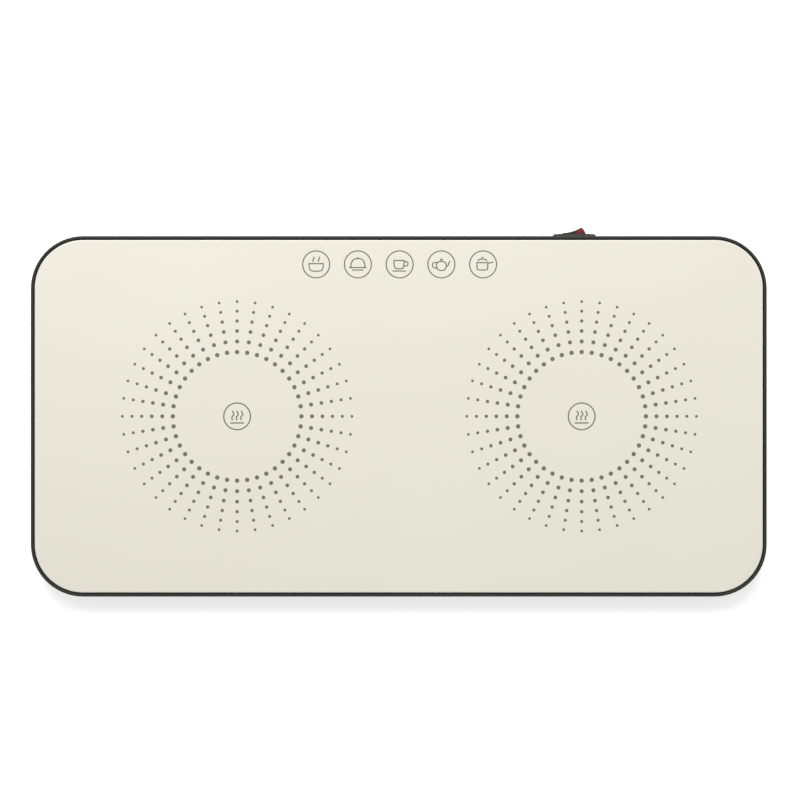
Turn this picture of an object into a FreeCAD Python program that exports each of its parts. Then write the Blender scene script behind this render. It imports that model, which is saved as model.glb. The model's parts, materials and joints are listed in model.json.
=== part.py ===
import FreeCAD, Part
import math
import os

from FreeCAD import Vector

# Electric food warmer tray, in millimetres: a glass top in a dark moulded frame, with two heated zones.
# +X runs to the right, +Y to the back, +Z up. The origin is on the table under the middle of the tray.

# Tray outline
TRAY_LENGTH = 600.0
TRAY_DEPTH = 294.0
CORNER_RADIUS = 42.7

# Frame
SIDE_HEIGHT = 23.0
WALL = 2.5
RIM_OUTER_ROUND = 1.1
RIM_INNER_ROUND = 0.8
LOWER_ROUND = 1.6
LEDGE_WIDTH = 8.5
LEDGE_THICKNESS = 2.5

# Glass and its seal
GLASS_THICKNESS = 4.0
GLASS_PROUD = 0.4
GLASS_EDGE_GAP = 0.6
GLASS_BEVEL_WIDTH = 1.5
GLASS_BEVEL_HEIGHT = 0.7
SEAL_THICKNESS = 0.8
SEAL_WIDTH = 7.0
SEAL_LIP = 0.5
SEAL_LIP_BELOW_RIM = 0.5
SEAL_SIDE_CLEARANCE = 0.05

# Base and its ribs
BASE_THICKNESS = 2.5
BASE_EDGE_CLEARANCE = 0.3
RIB_THICKNESS = 2.0
RIB_LENGTH = 150.0
RIB_COUNT = 5
RIB_EDGE_MARGIN = 12.0

# Feet
FOOT_HEIGHT = 4.0
FOOT_RADIUS = 9.0
FOOT_ROUND = 1.0
FOOT_STEM_RADIUS = 2.7
FOOT_STEM_CLEARANCE = 0.1
FOOT_BARB_RADIUS = 3.5
FOOT_BARB_HEIGHT = 2.4
FOOT_END_INSET = 55.0
FOOT_SIDE_INSET = 39.0

# Base screws and their bosses
SCREW_RADIUS = 1.5
SCREW_LENGTH = 12.0
SCREW_HEAD_RADIUS = 2.7
SCREW_HEAD_HEIGHT = 1.6
SCREW_CROSS_LENGTH = 3.0
SCREW_CROSS_WIDTH = 0.7
SCREW_CROSS_DEPTH = 0.9
SCREW_HOLE_CLEARANCE = 0.05
SCREW_PASS_CLEARANCE = 0.2
SCREW_END_ROOM = 1.0
BOSS_RADIUS = 3.7
BOSS_WEB = 2.0
SCREW_COLUMN_SPACING = 150.0
SCREW_COLUMN_COUNT = 4

# Heated zones
ZONE_LEFT_INSET = 168.3
ZONE_RIGHT_INSET = 151.0
SPREADER_SHORTER_THAN_HALF = 70.0
SPREADER_SIDE_INSET = 37.0
SPREADER_RADIUS = 12.0
SPREADER_THICKNESS = 1.0
STUD_RADIUS = 1.5
STUD_LENGTH = 5.5
STUD_CLEARANCE = 0.1

# Heating wire
ELEMENT_RADIUS = 1.2
ELEMENT_SIDE_MARGIN = 22.0
ELEMENT_HALF_TURNS = 11
ELEMENT_TAIL_RADIUS = 12.0
LAYER_GAP = 0.05

# Foil and insulation
FOIL_THICKNESS = 0.3
PAD_THICKNESS = 6.0
PAD_MARGIN_X = 15.0
PAD_MARGIN_Y = 19.0
PAD_RADIUS = 8.0
PAD_NOTCH_CLEARANCE = 4.0

# Thermostats
THERMOSTAT_INSET_X = 23.0
THERMOSTAT_INSET_Y = 22.0
THERMOSTAT_RADIUS = 7.75
THERMOSTAT_HEIGHT = 7.0
THERMOSTAT_CAP_RADIUS = 6.8
THERMOSTAT_CAP_HEIGHT = 1.5
BRACKET_THICKNESS = 0.8
BRACKET_WIDTH = 8.0
BRACKET_HOLE_SPACING = 24.0
TAB_WIDTH = 4.8
TAB_THICKNESS = 0.8
TAB_SPACING = 6.8
TAB_REACH = 16.0

# Nuts
NUT_ACROSS_FLATS = 5.5
NUT_HEIGHT = 2.4

# Thermal fuses and clips
FUSE_RADIUS = 1.9
FUSE_LENGTH = 12.0
FUSE_LEAD_RADIUS = 0.5
FUSE_LEAD_LENGTH = 12.0
FUSE_OFFSET_X = 40.0
FRONT_STRIP_INSET = 8.5
CLIP_THICKNESS = 0.6
CLIP_WIDTH = 7.0
CLIP_CLEARANCE = 0.1
CLIP_EAR = 6.5

# Wires and joints between them
WIRE_RADIUS = 1.2
CRIMP_RADIUS = 2.0
CRIMP_LENGTH = 8.0
SPLICE_RADIUS = 3.5
SPLICE_LENGTH = 14.0
SPLICE_WIRE_OFFSET = 1.7
FLOOR_GAP = 0.05
NEUTRAL_SPLICE_X = 20.0
NEUTRAL_SPLICE_INSET = 26.0
LIVE_SPLICE_X = 12.0
LIVE_SPLICE_INSET = 52.0
SWITCHED_LANE_INSET = 34.5
LAMP_LANE_INSET = 43.0
LINK_LANE_INSET = 33.0
FEED_LANE_INSET = 20.0
WIRE_ARC_SHARE = 0.45

# Inlet
INLET_X = 95.0
INLET_NOSE_LENGTH = 18.2
INLET_NOSE_HEIGHT = 11.4
INLET_NOSE_RADIUS = 3.0
INLET_FLANGE_LENGTH = 24.0
INLET_FLANGE_HEIGHT = 13.0
INLET_FLANGE_THICKNESS = 2.0
INLET_DEPTH = 15.0
INLET_HOLE_CLEARANCE = 0.2
SOCKET_LENGTH = 14.4
SOCKET_HEIGHT = 8.2
SOCKET_DEPTH = 11.0
SOCKET_END_FLAT = 0.01
PIN_RADIUS = 1.2
PIN_SPACING = 8.6
PIN_STANDING = 9.5
PIN_TAIL = 8.0
PIN_TAIL_RADIUS = 1.0
PIN_COLLAR_RADIUS = 1.5
PIN_HOLE_CLEARANCE = 0.05
RAIL_THICKNESS = 2.0
RAIL_HOOK = 1.5
RAIL_CLEARANCE = 0.2

# Switch boss on the frame
SWITCH_X = 143.5
SWITCH_BOSS_PROUD = 1.9
SWITCH_BOSS_LENGTH = 33.0
SWITCH_BOSS_HEIGHT = 16.8
SWITCH_BOSS_FLARE = 1.9
SWITCH_BOSS_FLARE_HEIGHT = 0.5
SWITCH_BOSS_RADIUS = 2.0

# Switch housing
BEZEL_LENGTH = 26.0
BEZEL_HEIGHT = 15.0
BEZEL_RADIUS = 1.5
BEZEL_THICKNESS = 1.8
BEZEL_PROUD = 0.3
BEZEL_CLEARANCE = 0.2
HOUSING_LENGTH = 22.8
HOUSING_HEIGHT = 12.6
HOUSING_DEPTH = 20.0
HOUSING_BACK = 3.0
HOUSING_LOWER_LENGTH = 17.6
HOUSING_STEP_DEPTH = 8.0
HOUSING_HOLE_CLEARANCE = 0.2
LATCH_LENGTH = 3.0
LATCH_PROUD = 0.9
LATCH_HEIGHT = 5.0
LATCH_CLEARANCE = 0.2

# Rocker
ROCKER_THROW = 34.0
PIVOT_DEPTH = 2.2
ROCKER_END_RADIUS = 9.9
ROCKER_END_HEIGHT = 5.95
ROCKER_HOLLOW = 1.1
ROCKER_SKIRT = 1.5
ROCKER_WIDTH = 9.4
ROCKER_EDGE_ROUND = 0.5
ROCKER_CLEARANCE = 0.3
TRUNNION_RADIUS = 1.5
TRUNNION_LENGTH = 1.1
TRUNNION_CLEARANCE = 0.05
HUB_LENGTH = 5.2
HUB_REACH = 5.5
HUB_BORE_TOP = 2.0

# Plunger and spring
PLUNGER_RADIUS = 1.5
PLUNGER_CLEARANCE = 0.05
PLUNGER_TOP = 2.5
PLUNGER_SHOULDER = 6.5
PLUNGER_TIP_RADIUS = 1.0
PLUNGER_REACH = 8.0
SPRING_RADIUS = 1.1
SPRING_WIRE_RADIUS = 0.2
SPRING_TURNS = 5

# Contact lever and terminals
LEVER_RATIO = -0.5
LEVER_THICKNESS = 0.4
LEVER_WIDTH = 4.0
LEVER_ARM = 6.8
LEVER_BEND = 25.0
LEVER_CLEARANCE = 0.08
FULCRUM_RADIUS = 0.4
MOVING_GAP = 0.3
TERMINAL_SPACING = 5.8
TERMINAL_WIDTH = 4.8
TERMINAL_THICKNESS = 0.8
TERMINAL_REACH = 8.0
TERMINAL_CLEARANCE = 0.05
LAMP_RADIUS = 1.0
LAMP_LENGTH = 8.0
LAMP_BELOW_FULCRUM = 1.6

# Heights of the stack, worked out from the table up and from the rim down
BASE_TOP = FOOT_HEIGHT + BASE_THICKNESS
RIM_TOP = FOOT_HEIGHT + SIDE_HEIGHT
GLASS_TOP = RIM_TOP + GLASS_PROUD
GLASS_BOTTOM = GLASS_TOP - GLASS_THICKNESS
LEDGE_TOP = GLASS_BOTTOM - SEAL_THICKNESS
LEDGE_BOTTOM = LEDGE_TOP - LEDGE_THICKNESS
SPREADER_BOTTOM = GLASS_BOTTOM - SPREADER_THICKNESS
ELEMENT_Z = SPREADER_BOTTOM - LAYER_GAP - ELEMENT_RADIUS
FOIL_TOP = ELEMENT_Z - ELEMENT_RADIUS - LAYER_GAP
PAD_TOP = FOIL_TOP - FOIL_THICKNESS
PAD_BOTTOM = PAD_TOP - PAD_THICKNESS
WORKS_Z = (BASE_TOP + LEDGE_BOTTOM) / 2

# Places along the back and the front
BACK_Y = TRAY_DEPTH / 2
NEUTRAL_SPLICE_Y = BACK_Y - NEUTRAL_SPLICE_INSET
SWITCHED_LANE_Y = BACK_Y - SWITCHED_LANE_INSET
LAMP_LANE_Y = BACK_Y - LAMP_LANE_INSET
LIVE_SPLICE_Y = LIVE_SPLICE_INSET - BACK_Y
LINK_LANE_Y = LINK_LANE_INSET - BACK_Y
FEED_LANE_Y = FEED_LANE_INSET - BACK_Y
BOSS_FACE_Y = BACK_Y + SWITCH_BOSS_PROUD
PIVOT_Y = BOSS_FACE_Y - PIVOT_DEPTH
GLASS_INSET = WALL + GLASS_EDGE_GAP
SCREW_INSET = WALL + LEDGE_WIDTH / 2

# Places inside the switch, as distances from the rocker's pivot
LEVER_TOP_BELOW = PLUNGER_REACH + PLUNGER_TIP_RADIUS + MOVING_GAP
LEVER_PIVOT_BELOW = LEVER_TOP_BELOW + FULCRUM_RADIUS + LEVER_CLEARANCE + LEVER_THICKNESS
LEVER_PIVOT_Y = PIVOT_Y - LEVER_PIVOT_BELOW
HOUSING_FLOOR_Y = BOSS_FACE_Y - HOUSING_DEPTH + HOUSING_BACK
HOUSING_END_Y = BOSS_FACE_Y - HOUSING_DEPTH
TERMINAL_TIP_Y = HOUSING_END_Y - TERMINAL_REACH
LEVER_SWING = abs(LEVER_RATIO) * ROCKER_THROW / 2

# Places and sizes of the heated zones
ZONES = {"left": ZONE_LEFT_INSET - TRAY_LENGTH / 2, "right": TRAY_LENGTH / 2 - ZONE_RIGHT_INSET}
SPREADER_LENGTH = TRAY_LENGTH / 2 - SPREADER_SHORTER_THAN_HALF
SPREADER_DEPTH = TRAY_DEPTH - 2 * SPREADER_SIDE_INSET
ELEMENT_PITCH = (SPREADER_DEPTH / 2 - ELEMENT_SIDE_MARGIN) / ELEMENT_HALF_TURNS


def box(x_span, y_span, z_span):
    """A box between three pairs of limits."""
    corner = Vector(x_span[0], y_span[0], z_span[0])
    return Part.makeBox(x_span[1] - x_span[0], y_span[1] - y_span[0], z_span[1] - z_span[0], corner)


def about(middle, width):
    """The two limits of a width about its middle."""
    return (middle - width / 2, middle + width / 2)


def cylinder(radius, start, end):
    """A cylinder from one point to another."""
    run = end.sub(start)
    return Part.makeCylinder(radius, run.Length, start, run)


def cone(start_radius, end_radius, start, end):
    """A cone from one point to another."""
    run = end.sub(start)
    return Part.makeCone(start_radius, end_radius, run.Length, start, run)


def rounded_outline(length, depth, radius):
    """A closed rectangle with round corners about the origin, in the XY plane."""
    edges = []
    for quarter, (side_x, side_y) in enumerate([(1, 1), (-1, 1), (-1, -1), (1, -1)]):
        centre = Vector(side_x * (length / 2 - radius), side_y * (depth / 2 - radius), 0)
        angles = [math.radians(90 * quarter + step) for step in (0, 45, 90)]
        points = [centre + Vector(math.cos(angle), math.sin(angle), 0) * radius for angle in angles]
        edges.append(Part.Arc(*points).toShape())
    lines = []
    for arc, following in zip(edges, edges[1:] + edges[:1]):
        lines.append(Part.makeLine(arc.Vertexes[-1].Point, following.Vertexes[0].Point))
    return Part.Wire([edge for pair in zip(edges, lines) for edge in pair])


def rounded_plate(length, depth, radius, z_span, middle=(0.0, 0.0)):
    """A flat plate with round corners between two heights."""
    plate = Part.Face(rounded_outline(length, depth, radius)).extrude(Vector(0, 0, z_span[1] - z_span[0]))
    plate.translate(Vector(middle[0], middle[1], z_span[0]))
    return plate


def tray_plate(inset, z_span):
    """A plate with the tray's own outline drawn in by an inset."""
    return rounded_plate(TRAY_LENGTH - 2 * inset, TRAY_DEPTH - 2 * inset, CORNER_RADIUS - inset, z_span)


def upright_plate(length, height, radius, y_span, middle_x):
    """A rounded plate that stands in the back wall, square to Y, at the height of the switch and inlet."""
    plate = rounded_plate(length, height, radius, (0.0, y_span[1] - y_span[0]))
    plate.rotate(Vector(0, 0, 0), Vector(1, 0, 0), 90)
    plate.translate(Vector(middle_x, y_span[1], WORKS_Z))
    return plate


def edges_at(shape, z, outer_limit):
    """The edges that lie flat at one height and inside a limit on |x|."""
    chosen = []
    for edge in shape.Edges:
        bounds = edge.BoundBox
        flat = abs(bounds.ZMin - z) < 1e-4 and abs(bounds.ZMax - z) < 1e-4
        if flat and max(abs(bounds.XMin), abs(bounds.XMax)) < outer_limit:
            chosen.append(edge)
    return chosen


def fuse_all(shapes):
    """One solid from several that meet."""
    return shapes[0].multiFuse(shapes[1:]).removeSplitter()


def screw_places():
    """The screws' places: a row along the front, one along the back, and one at each end."""
    places = []
    for column in range(SCREW_COLUMN_COUNT):
        x = (column - (SCREW_COLUMN_COUNT - 1) / 2) * SCREW_COLUMN_SPACING
        for side in (-1, 1):
            places.append((x, side * (TRAY_DEPTH / 2 - SCREW_INSET), (0, side)))
    for side in (-1, 1):
        places.append((side * (TRAY_LENGTH / 2 - SCREW_INSET), 0.0, (side, 0)))
    return places


def switch_room():
    """The room that the switch housing takes inside the tray, with its clearance."""
    length = HOUSING_LENGTH + 2 * (LATCH_PROUD + HOUSING_HOLE_CLEARANCE)
    height = HOUSING_HEIGHT + 2 * HOUSING_HOLE_CLEARANCE
    y_span = (HOUSING_END_Y - HOUSING_HOLE_CLEARANCE, BACK_Y - WALL)
    return box(about(SWITCH_X, length), y_span, about(WORKS_Z, height))


def inlet_room():
    """The room that the inlet takes inside the tray, with its clearance."""
    length = INLET_FLANGE_LENGTH + 2 * RAIL_CLEARANCE
    height = INLET_FLANGE_HEIGHT + 2 * RAIL_CLEARANCE
    y_span = (BACK_Y - INLET_DEPTH - RAIL_CLEARANCE, BACK_Y - WALL)
    return box(about(INLET_X, length), y_span, about(WORKS_Z, height))


def switch_boss():
    """The shallow boss on the back wall, a little wider where it leaves the wall."""
    length = SWITCH_BOSS_LENGTH + 2 * SWITCH_BOSS_FLARE
    height = SWITCH_BOSS_HEIGHT + 2 * SWITCH_BOSS_FLARE_HEIGHT
    root = rounded_outline(length, height, SWITCH_BOSS_RADIUS)
    face = rounded_outline(SWITCH_BOSS_LENGTH, SWITCH_BOSS_HEIGHT, SWITCH_BOSS_RADIUS)
    for outline, y in ((root, BACK_Y), (face, BOSS_FACE_Y)):
        outline.rotate(Vector(0, 0, 0), Vector(1, 0, 0), 90)
        outline.translate(Vector(SWITCH_X, y, WORKS_Z))
    flare = Part.makeLoft([root, face], True, True)
    foot = upright_plate(length, height, SWITCH_BOSS_RADIUS, (BACK_Y - WALL, BACK_Y), SWITCH_X)
    return fuse_all([flare, foot])


def inlet_rails():
    """Two hooked rails on the frame's inner wall that hold the inlet's flange."""
    rails = []
    wall_y = BACK_Y - WALL
    hook_front = wall_y - INLET_FLANGE_THICKNESS - RAIL_CLEARANCE
    for side in (-1, 1):
        inner = INLET_FLANGE_LENGTH / 2 + RAIL_CLEARANCE
        post = sorted([INLET_X + side * inner, INLET_X + side * (inner + RAIL_THICKNESS)])
        hook = sorted([INLET_X + side * (inner - RAIL_HOOK), INLET_X + side * (inner + RAIL_THICKNESS)])
        rails.append(box(post, (hook_front - RAIL_THICKNESS, wall_y), (BASE_TOP, LEDGE_BOTTOM)))
        rails.append(box(hook, (hook_front - RAIL_THICKNESS, hook_front), (BASE_TOP, LEDGE_BOTTOM)))
    return rails


def make_frame():
    """Side walls, crowned rim, glass ledge, screw bosses, switch boss and the holes at the back."""
    frame = tray_plate(0.0, (FOOT_HEIGHT, RIM_TOP))
    frame = frame.makeFillet(RIM_OUTER_ROUND, edges_at(frame, RIM_TOP, TRAY_LENGTH))
    frame = frame.makeFillet(LOWER_ROUND, edges_at(frame, FOOT_HEIGHT, TRAY_LENGTH))
    frame = frame.cut(tray_plate(WALL, (FOOT_HEIGHT, LEDGE_BOTTOM)))
    frame = frame.cut(tray_plate(WALL + LEDGE_WIDTH, (LEDGE_BOTTOM, LEDGE_TOP)))
    frame = frame.cut(tray_plate(WALL, (LEDGE_TOP, RIM_TOP)))
    inner_limit = TRAY_LENGTH / 2 - WALL + 0.01
    frame = frame.makeFillet(RIM_INNER_ROUND, edges_at(frame, RIM_TOP, inner_limit))
    bosses = []
    for x, y, outward in screw_places():
        foot = Vector(x, y, BASE_TOP)
        bosses.append(cylinder(BOSS_RADIUS, foot, Vector(x, y, LEDGE_BOTTOM)))
        reach = SCREW_INSET - WALL
        x_span = sorted([x, x + outward[0] * reach]) if outward[0] else about(x, BOSS_WEB)
        y_span = sorted([y, y + outward[1] * reach]) if outward[1] else about(y, BOSS_WEB)
        bosses.append(box(x_span, y_span, (BASE_TOP, LEDGE_BOTTOM)))
    frame = fuse_all([frame, switch_boss()] + bosses + inlet_rails())
    holes = []
    for x, y, _ in screw_places():
        end = Vector(x, y, FOOT_HEIGHT + SCREW_LENGTH + SCREW_END_ROOM)
        holes.append(cylinder(SCREW_RADIUS + SCREW_HOLE_CLEARANCE, Vector(x, y, FOOT_HEIGHT), end))
    wall_span = (BACK_Y - WALL, BOSS_FACE_Y)
    bezel_length = BEZEL_LENGTH + 2 * BEZEL_CLEARANCE
    bezel_height = BEZEL_HEIGHT + 2 * BEZEL_CLEARANCE
    bezel_span = (BOSS_FACE_Y - BEZEL_THICKNESS + BEZEL_PROUD, BOSS_FACE_Y)
    holes.append(upright_plate(bezel_length, bezel_height, BEZEL_RADIUS, bezel_span, SWITCH_X))
    holes.append(box(about(SWITCH_X, HOUSING_LENGTH + 2 * HOUSING_HOLE_CLEARANCE), wall_span,
                     about(WORKS_Z, HOUSING_HEIGHT + 2 * HOUSING_HOLE_CLEARANCE)))
    holes.append(upright_plate(INLET_NOSE_LENGTH + 2 * INLET_HOLE_CLEARANCE,
                               INLET_NOSE_HEIGHT + 2 * INLET_HOLE_CLEARANCE,
                               INLET_NOSE_RADIUS + INLET_HOLE_CLEARANCE, wall_span, INLET_X))
    return frame.cut(Part.makeCompound(holes + [switch_room(), inlet_room()]))


def make_glass():
    """The glass top with a polished bevel round its upper edge."""
    glass = tray_plate(GLASS_INSET, (GLASS_BOTTOM, GLASS_TOP))
    top_face = max(glass.Faces, key=lambda face: face.CenterOfMass.z)
    return glass.makeChamfer(GLASS_BEVEL_HEIGHT, GLASS_BEVEL_WIDTH, top_face.Edges)


def make_glass_seal():
    """An angle-section gasket: a flat part under the glass and a thin lip beside it."""
    side = WALL + SEAL_SIDE_CLEARANCE
    flat_span = (LEDGE_TOP, GLASS_BOTTOM)
    flat = tray_plate(side, flat_span).cut(tray_plate(WALL + SEAL_WIDTH, flat_span))
    lip_span = (GLASS_BOTTOM, RIM_TOP - SEAL_LIP_BELOW_RIM)
    lip = tray_plate(side, lip_span).cut(tray_plate(side + SEAL_LIP, lip_span))
    return fuse_all([flat, lip])


def foot_places():
    """The feet's names and places: one near each corner and one under the middle of the tray."""
    places = {"foot_middle": (0.0, 0.0)}
    for row, side_y in (("back", 1), ("front", -1)):
        for column, side_x in (("left", -1), ("right", 1)):
            x = side_x * (TRAY_LENGTH / 2 - FOOT_END_INSET)
            places["foot_" + row + "_" + column] = (x, side_y * (TRAY_DEPTH / 2 - FOOT_SIDE_INSET))
    return places


def make_foot(x, y):
    """A rubber foot: a round pad, a stem through the base and a barb that holds it."""
    pad = cylinder(FOOT_RADIUS, Vector(x, y, 0), Vector(x, y, FOOT_HEIGHT))
    pad = pad.makeFillet(FOOT_ROUND, edges_at(pad, 0.0, TRAY_LENGTH))
    barb_z = BASE_TOP + FOOT_STEM_CLEARANCE
    stem = cylinder(FOOT_STEM_RADIUS, Vector(x, y, FOOT_HEIGHT), Vector(x, y, barb_z))
    barb_end = Vector(x, y, barb_z + FOOT_BARB_HEIGHT)
    barb = cone(FOOT_BARB_RADIUS, FOOT_STEM_RADIUS / 2, Vector(x, y, barb_z), barb_end)
    return fuse_all([pad, stem, barb])


def pad_size():
    """The insulation pad's length and depth."""
    return (SPREADER_LENGTH - 2 * PAD_MARGIN_X, SPREADER_DEPTH - 2 * PAD_MARGIN_Y)


def make_base():
    """The bottom cover with its holes and the ribs that press the pads up."""
    base = tray_plate(WALL + BASE_EDGE_CLEARANCE, (FOOT_HEIGHT, BASE_TOP))
    ribs = []
    rib_field = pad_size()[0] - 2 * RIB_EDGE_MARGIN
    for zone_x in ZONES.values():
        for rib in range(RIB_COUNT):
            x = zone_x + (rib / (RIB_COUNT - 1) - 0.5) * rib_field
            ribs.append(box(about(x, RIB_THICKNESS), about(0.0, RIB_LENGTH), (BASE_TOP, PAD_BOTTOM)))
    base = fuse_all([base] + ribs)
    holes = [switch_room(), inlet_room()]
    pass_radius = SCREW_RADIUS + SCREW_PASS_CLEARANCE
    for x, y, _ in screw_places():
        low = Vector(x, y, FOOT_HEIGHT)
        holes.append(cylinder(pass_radius, low, Vector(x, y, BASE_TOP)))
        sink_end = Vector(x, y, FOOT_HEIGHT + SCREW_HEAD_HEIGHT)
        holes.append(cone(SCREW_HEAD_RADIUS + SCREW_HOLE_CLEARANCE, pass_radius, low, sink_end))
    for x, y in foot_places().values():
        low = Vector(x, y, FOOT_HEIGHT)
        holes.append(cylinder(FOOT_STEM_RADIUS + FOOT_STEM_CLEARANCE, low, Vector(x, y, BASE_TOP)))
    return base.cut(Part.makeCompound(holes))


def make_screw(x, y):
    """A countersunk screw with a cross recess, head down."""
    low = Vector(x, y, FOOT_HEIGHT)
    neck = Vector(x, y, FOOT_HEIGHT + SCREW_HEAD_HEIGHT)
    head = cone(SCREW_HEAD_RADIUS, SCREW_RADIUS, low, neck)
    shank = cylinder(SCREW_RADIUS, neck, Vector(x, y, FOOT_HEIGHT + SCREW_LENGTH))
    screw = fuse_all([head, shank])
    depth = (FOOT_HEIGHT, FOOT_HEIGHT + SCREW_CROSS_DEPTH)
    screw = screw.cut(box(about(x, SCREW_CROSS_LENGTH), about(y, SCREW_CROSS_WIDTH), depth))
    return screw.cut(box(about(x, SCREW_CROSS_WIDTH), about(y, SCREW_CROSS_LENGTH), depth))


def thermostat_place(zone_x):
    """The middle of a zone's thermostat."""
    return (zone_x - SPREADER_LENGTH / 2 + THERMOSTAT_INSET_X, -SPREADER_DEPTH / 2 + THERMOSTAT_INSET_Y)


def front_strip_y():
    """The line along the front of a spreader where its fuse and leads lie."""
    return -SPREADER_DEPTH / 2 + FRONT_STRIP_INSET


def fuse_z():
    """The height of the fuse's axis under the spreader."""
    return SPREADER_BOTTOM - CLIP_CLEARANCE - FUSE_RADIUS


def clip_half_span():
    """Half the distance between the two studs of a fuse clip."""
    return FUSE_RADIUS + CLIP_CLEARANCE + CLIP_THICKNESS + CLIP_EAR / 2


def stud_places(zone_x):
    """The studs under a spreader: two for the thermostat, two for the fuse clip."""
    x, y = thermostat_place(zone_x)
    places = [(x - BRACKET_HOLE_SPACING / 2, y), (x + BRACKET_HOLE_SPACING / 2, y)]
    fuse_x = zone_x + FUSE_OFFSET_X
    for side in (-1, 1):
        places.append((fuse_x, front_strip_y() + side * clip_half_span()))
    return places


def make_spreader(zone_x):
    """An aluminium plate under the glass with studs that point down."""
    z_span = (SPREADER_BOTTOM, GLASS_BOTTOM)
    plate = rounded_plate(SPREADER_LENGTH, SPREADER_DEPTH, SPREADER_RADIUS, z_span, (zone_x, 0.0))
    studs = []
    for x, y in stud_places(zone_x):
        root = Vector(x, y, SPREADER_BOTTOM)
        studs.append(cylinder(STUD_RADIUS, root, root - Vector(0, 0, STUD_LENGTH)))
    return fuse_all([plate] + studs)


def tube(edges, radius, start, direction):
    """A round tube along edges that join smoothly."""
    profile = Part.Wire(Part.makeCircle(radius, start, direction))
    return Part.Wire(edges).makePipeShell([profile], True, False)


def spiral_arm(zone_x, turned):
    """One arm of the double spiral, from the middle out, as arcs of half a turn."""
    arcs = []
    x = 0.0
    for half_turn in range(ELEMENT_HALF_TURNS):
        radius = (half_turn + 0.5) * ELEMENT_PITCH
        way = 1 if half_turn % 2 == 0 else -1
        end = x + way * 2 * radius
        points = [(x, 0.0), ((x + end) / 2, way * radius), (end, 0.0)]
        arcs.append([Vector(zone_x + turned * px, turned * py, ELEMENT_Z) for px, py in points])
        x = end
    return arcs


def make_heating_wire(zone_x):
    """Heating wire wound as a double spiral from its back lead through the middle to its front lead."""
    inward = [list(reversed(points)) for points in reversed(spiral_arm(zone_x, -1))]
    outward = spiral_arm(zone_x, 1)
    back_lead = Vector(inward[0][0].x, SPREADER_DEPTH / 2 - FRONT_STRIP_INSET, ELEMENT_Z)
    edges = [Part.makeLine(back_lead, inward[0][0])]
    edges += [Part.Arc(*points).toShape() for points in inward + outward]
    turn = outward[-1][-1]
    bend_y = front_strip_y()
    centre = Vector(turn.x - ELEMENT_TAIL_RADIUS, bend_y + ELEMENT_TAIL_RADIUS, ELEMENT_Z)
    half = ELEMENT_TAIL_RADIUS * math.sqrt(0.5)
    bend_start = Vector(turn.x, centre.y, ELEMENT_Z)
    bend_end = Vector(centre.x, bend_y, ELEMENT_Z)
    edges.append(Part.makeLine(turn, bend_start))
    edges.append(Part.Arc(bend_start, centre + Vector(half, -half, 0), bend_end).toShape())
    edges.append(Part.makeLine(bend_end, Vector(element_crimp_x(zone_x), bend_y, ELEMENT_Z)))
    return tube(edges, ELEMENT_RADIUS, back_lead, Vector(0, -1, 0))


def element_crimp_x(zone_x):
    """The right end of the crimp between the fuse's lead and the heating wire."""
    return zone_x + FUSE_OFFSET_X + FUSE_LENGTH / 2 + FUSE_LEAD_LENGTH + CRIMP_LENGTH


def make_pad(zone_x, z_span):
    """A fibre pad or foil sheet with a notch round the thermostat."""
    length, depth = pad_size()
    pad = rounded_plate(length, depth, PAD_RADIUS, z_span, (zone_x, 0.0))
    x, y = thermostat_place(zone_x)
    half_x = BRACKET_HOLE_SPACING / 2 + BRACKET_WIDTH / 2 + PAD_NOTCH_CLEARANCE
    half_y = THERMOSTAT_RADIUS + PAD_NOTCH_CLEARANCE
    notch = box((zone_x - SPREADER_LENGTH / 2, x + half_x), (-SPREADER_DEPTH / 2, y + half_y), z_span)
    return pad.cut(notch)


def make_thermostat(zone_x):
    """A disc thermostat: cap against the spreader, bracket, round body and two tabs."""
    x, y = thermostat_place(zone_x)
    bracket_top = SPREADER_BOTTOM - THERMOSTAT_CAP_HEIGHT
    bracket_bottom = bracket_top - BRACKET_THICKNESS
    body_bottom = bracket_bottom - THERMOSTAT_HEIGHT
    cap = cylinder(THERMOSTAT_CAP_RADIUS, Vector(x, y, bracket_top), Vector(x, y, SPREADER_BOTTOM))
    bracket = rounded_plate(BRACKET_HOLE_SPACING + BRACKET_WIDTH, BRACKET_WIDTH, BRACKET_WIDTH / 2 - 0.1,
                            (bracket_bottom, bracket_top), (x, y))
    holes = []
    for side in (-1, 1):
        hole = Vector(x + side * BRACKET_HOLE_SPACING / 2, y, bracket_bottom)
        holes.append(cylinder(STUD_RADIUS + STUD_CLEARANCE, hole, hole + Vector(0, 0, BRACKET_THICKNESS)))
    bracket = bracket.cut(Part.makeCompound(holes))
    body = cylinder(THERMOSTAT_RADIUS, Vector(x, y, body_bottom), Vector(x, y, bracket_bottom))
    tabs = []
    for side in (-1, 1):
        tab_x = about(x + side * TAB_SPACING / 2, TAB_WIDTH)
        tabs.append(box(tab_x, (y - TAB_REACH, y), (body_bottom - TAB_THICKNESS, body_bottom)))
    return fuse_all([cap, bracket, body] + tabs)


def tab_tip(zone_x, side):
    """The middle of the end of one of the thermostat's tabs."""
    x, y = thermostat_place(zone_x)
    body_bottom = SPREADER_BOTTOM - THERMOSTAT_CAP_HEIGHT - BRACKET_THICKNESS - THERMOSTAT_HEIGHT
    return Vector(x + side * TAB_SPACING / 2, y - TAB_REACH, body_bottom - TAB_THICKNESS / 2)


def make_fuse(zone_x):
    """An axial thermal fuse with a lead at each end."""
    middle = Vector(zone_x + FUSE_OFFSET_X, front_strip_y(), fuse_z())
    half = Vector(FUSE_LENGTH / 2, 0, 0)
    lead = Vector(FUSE_LENGTH / 2 + FUSE_LEAD_LENGTH, 0, 0)
    body = cylinder(FUSE_RADIUS, middle - half, middle + half)
    return fuse_all([body, cylinder(FUSE_LEAD_RADIUS, middle - lead, middle + lead)])


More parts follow.
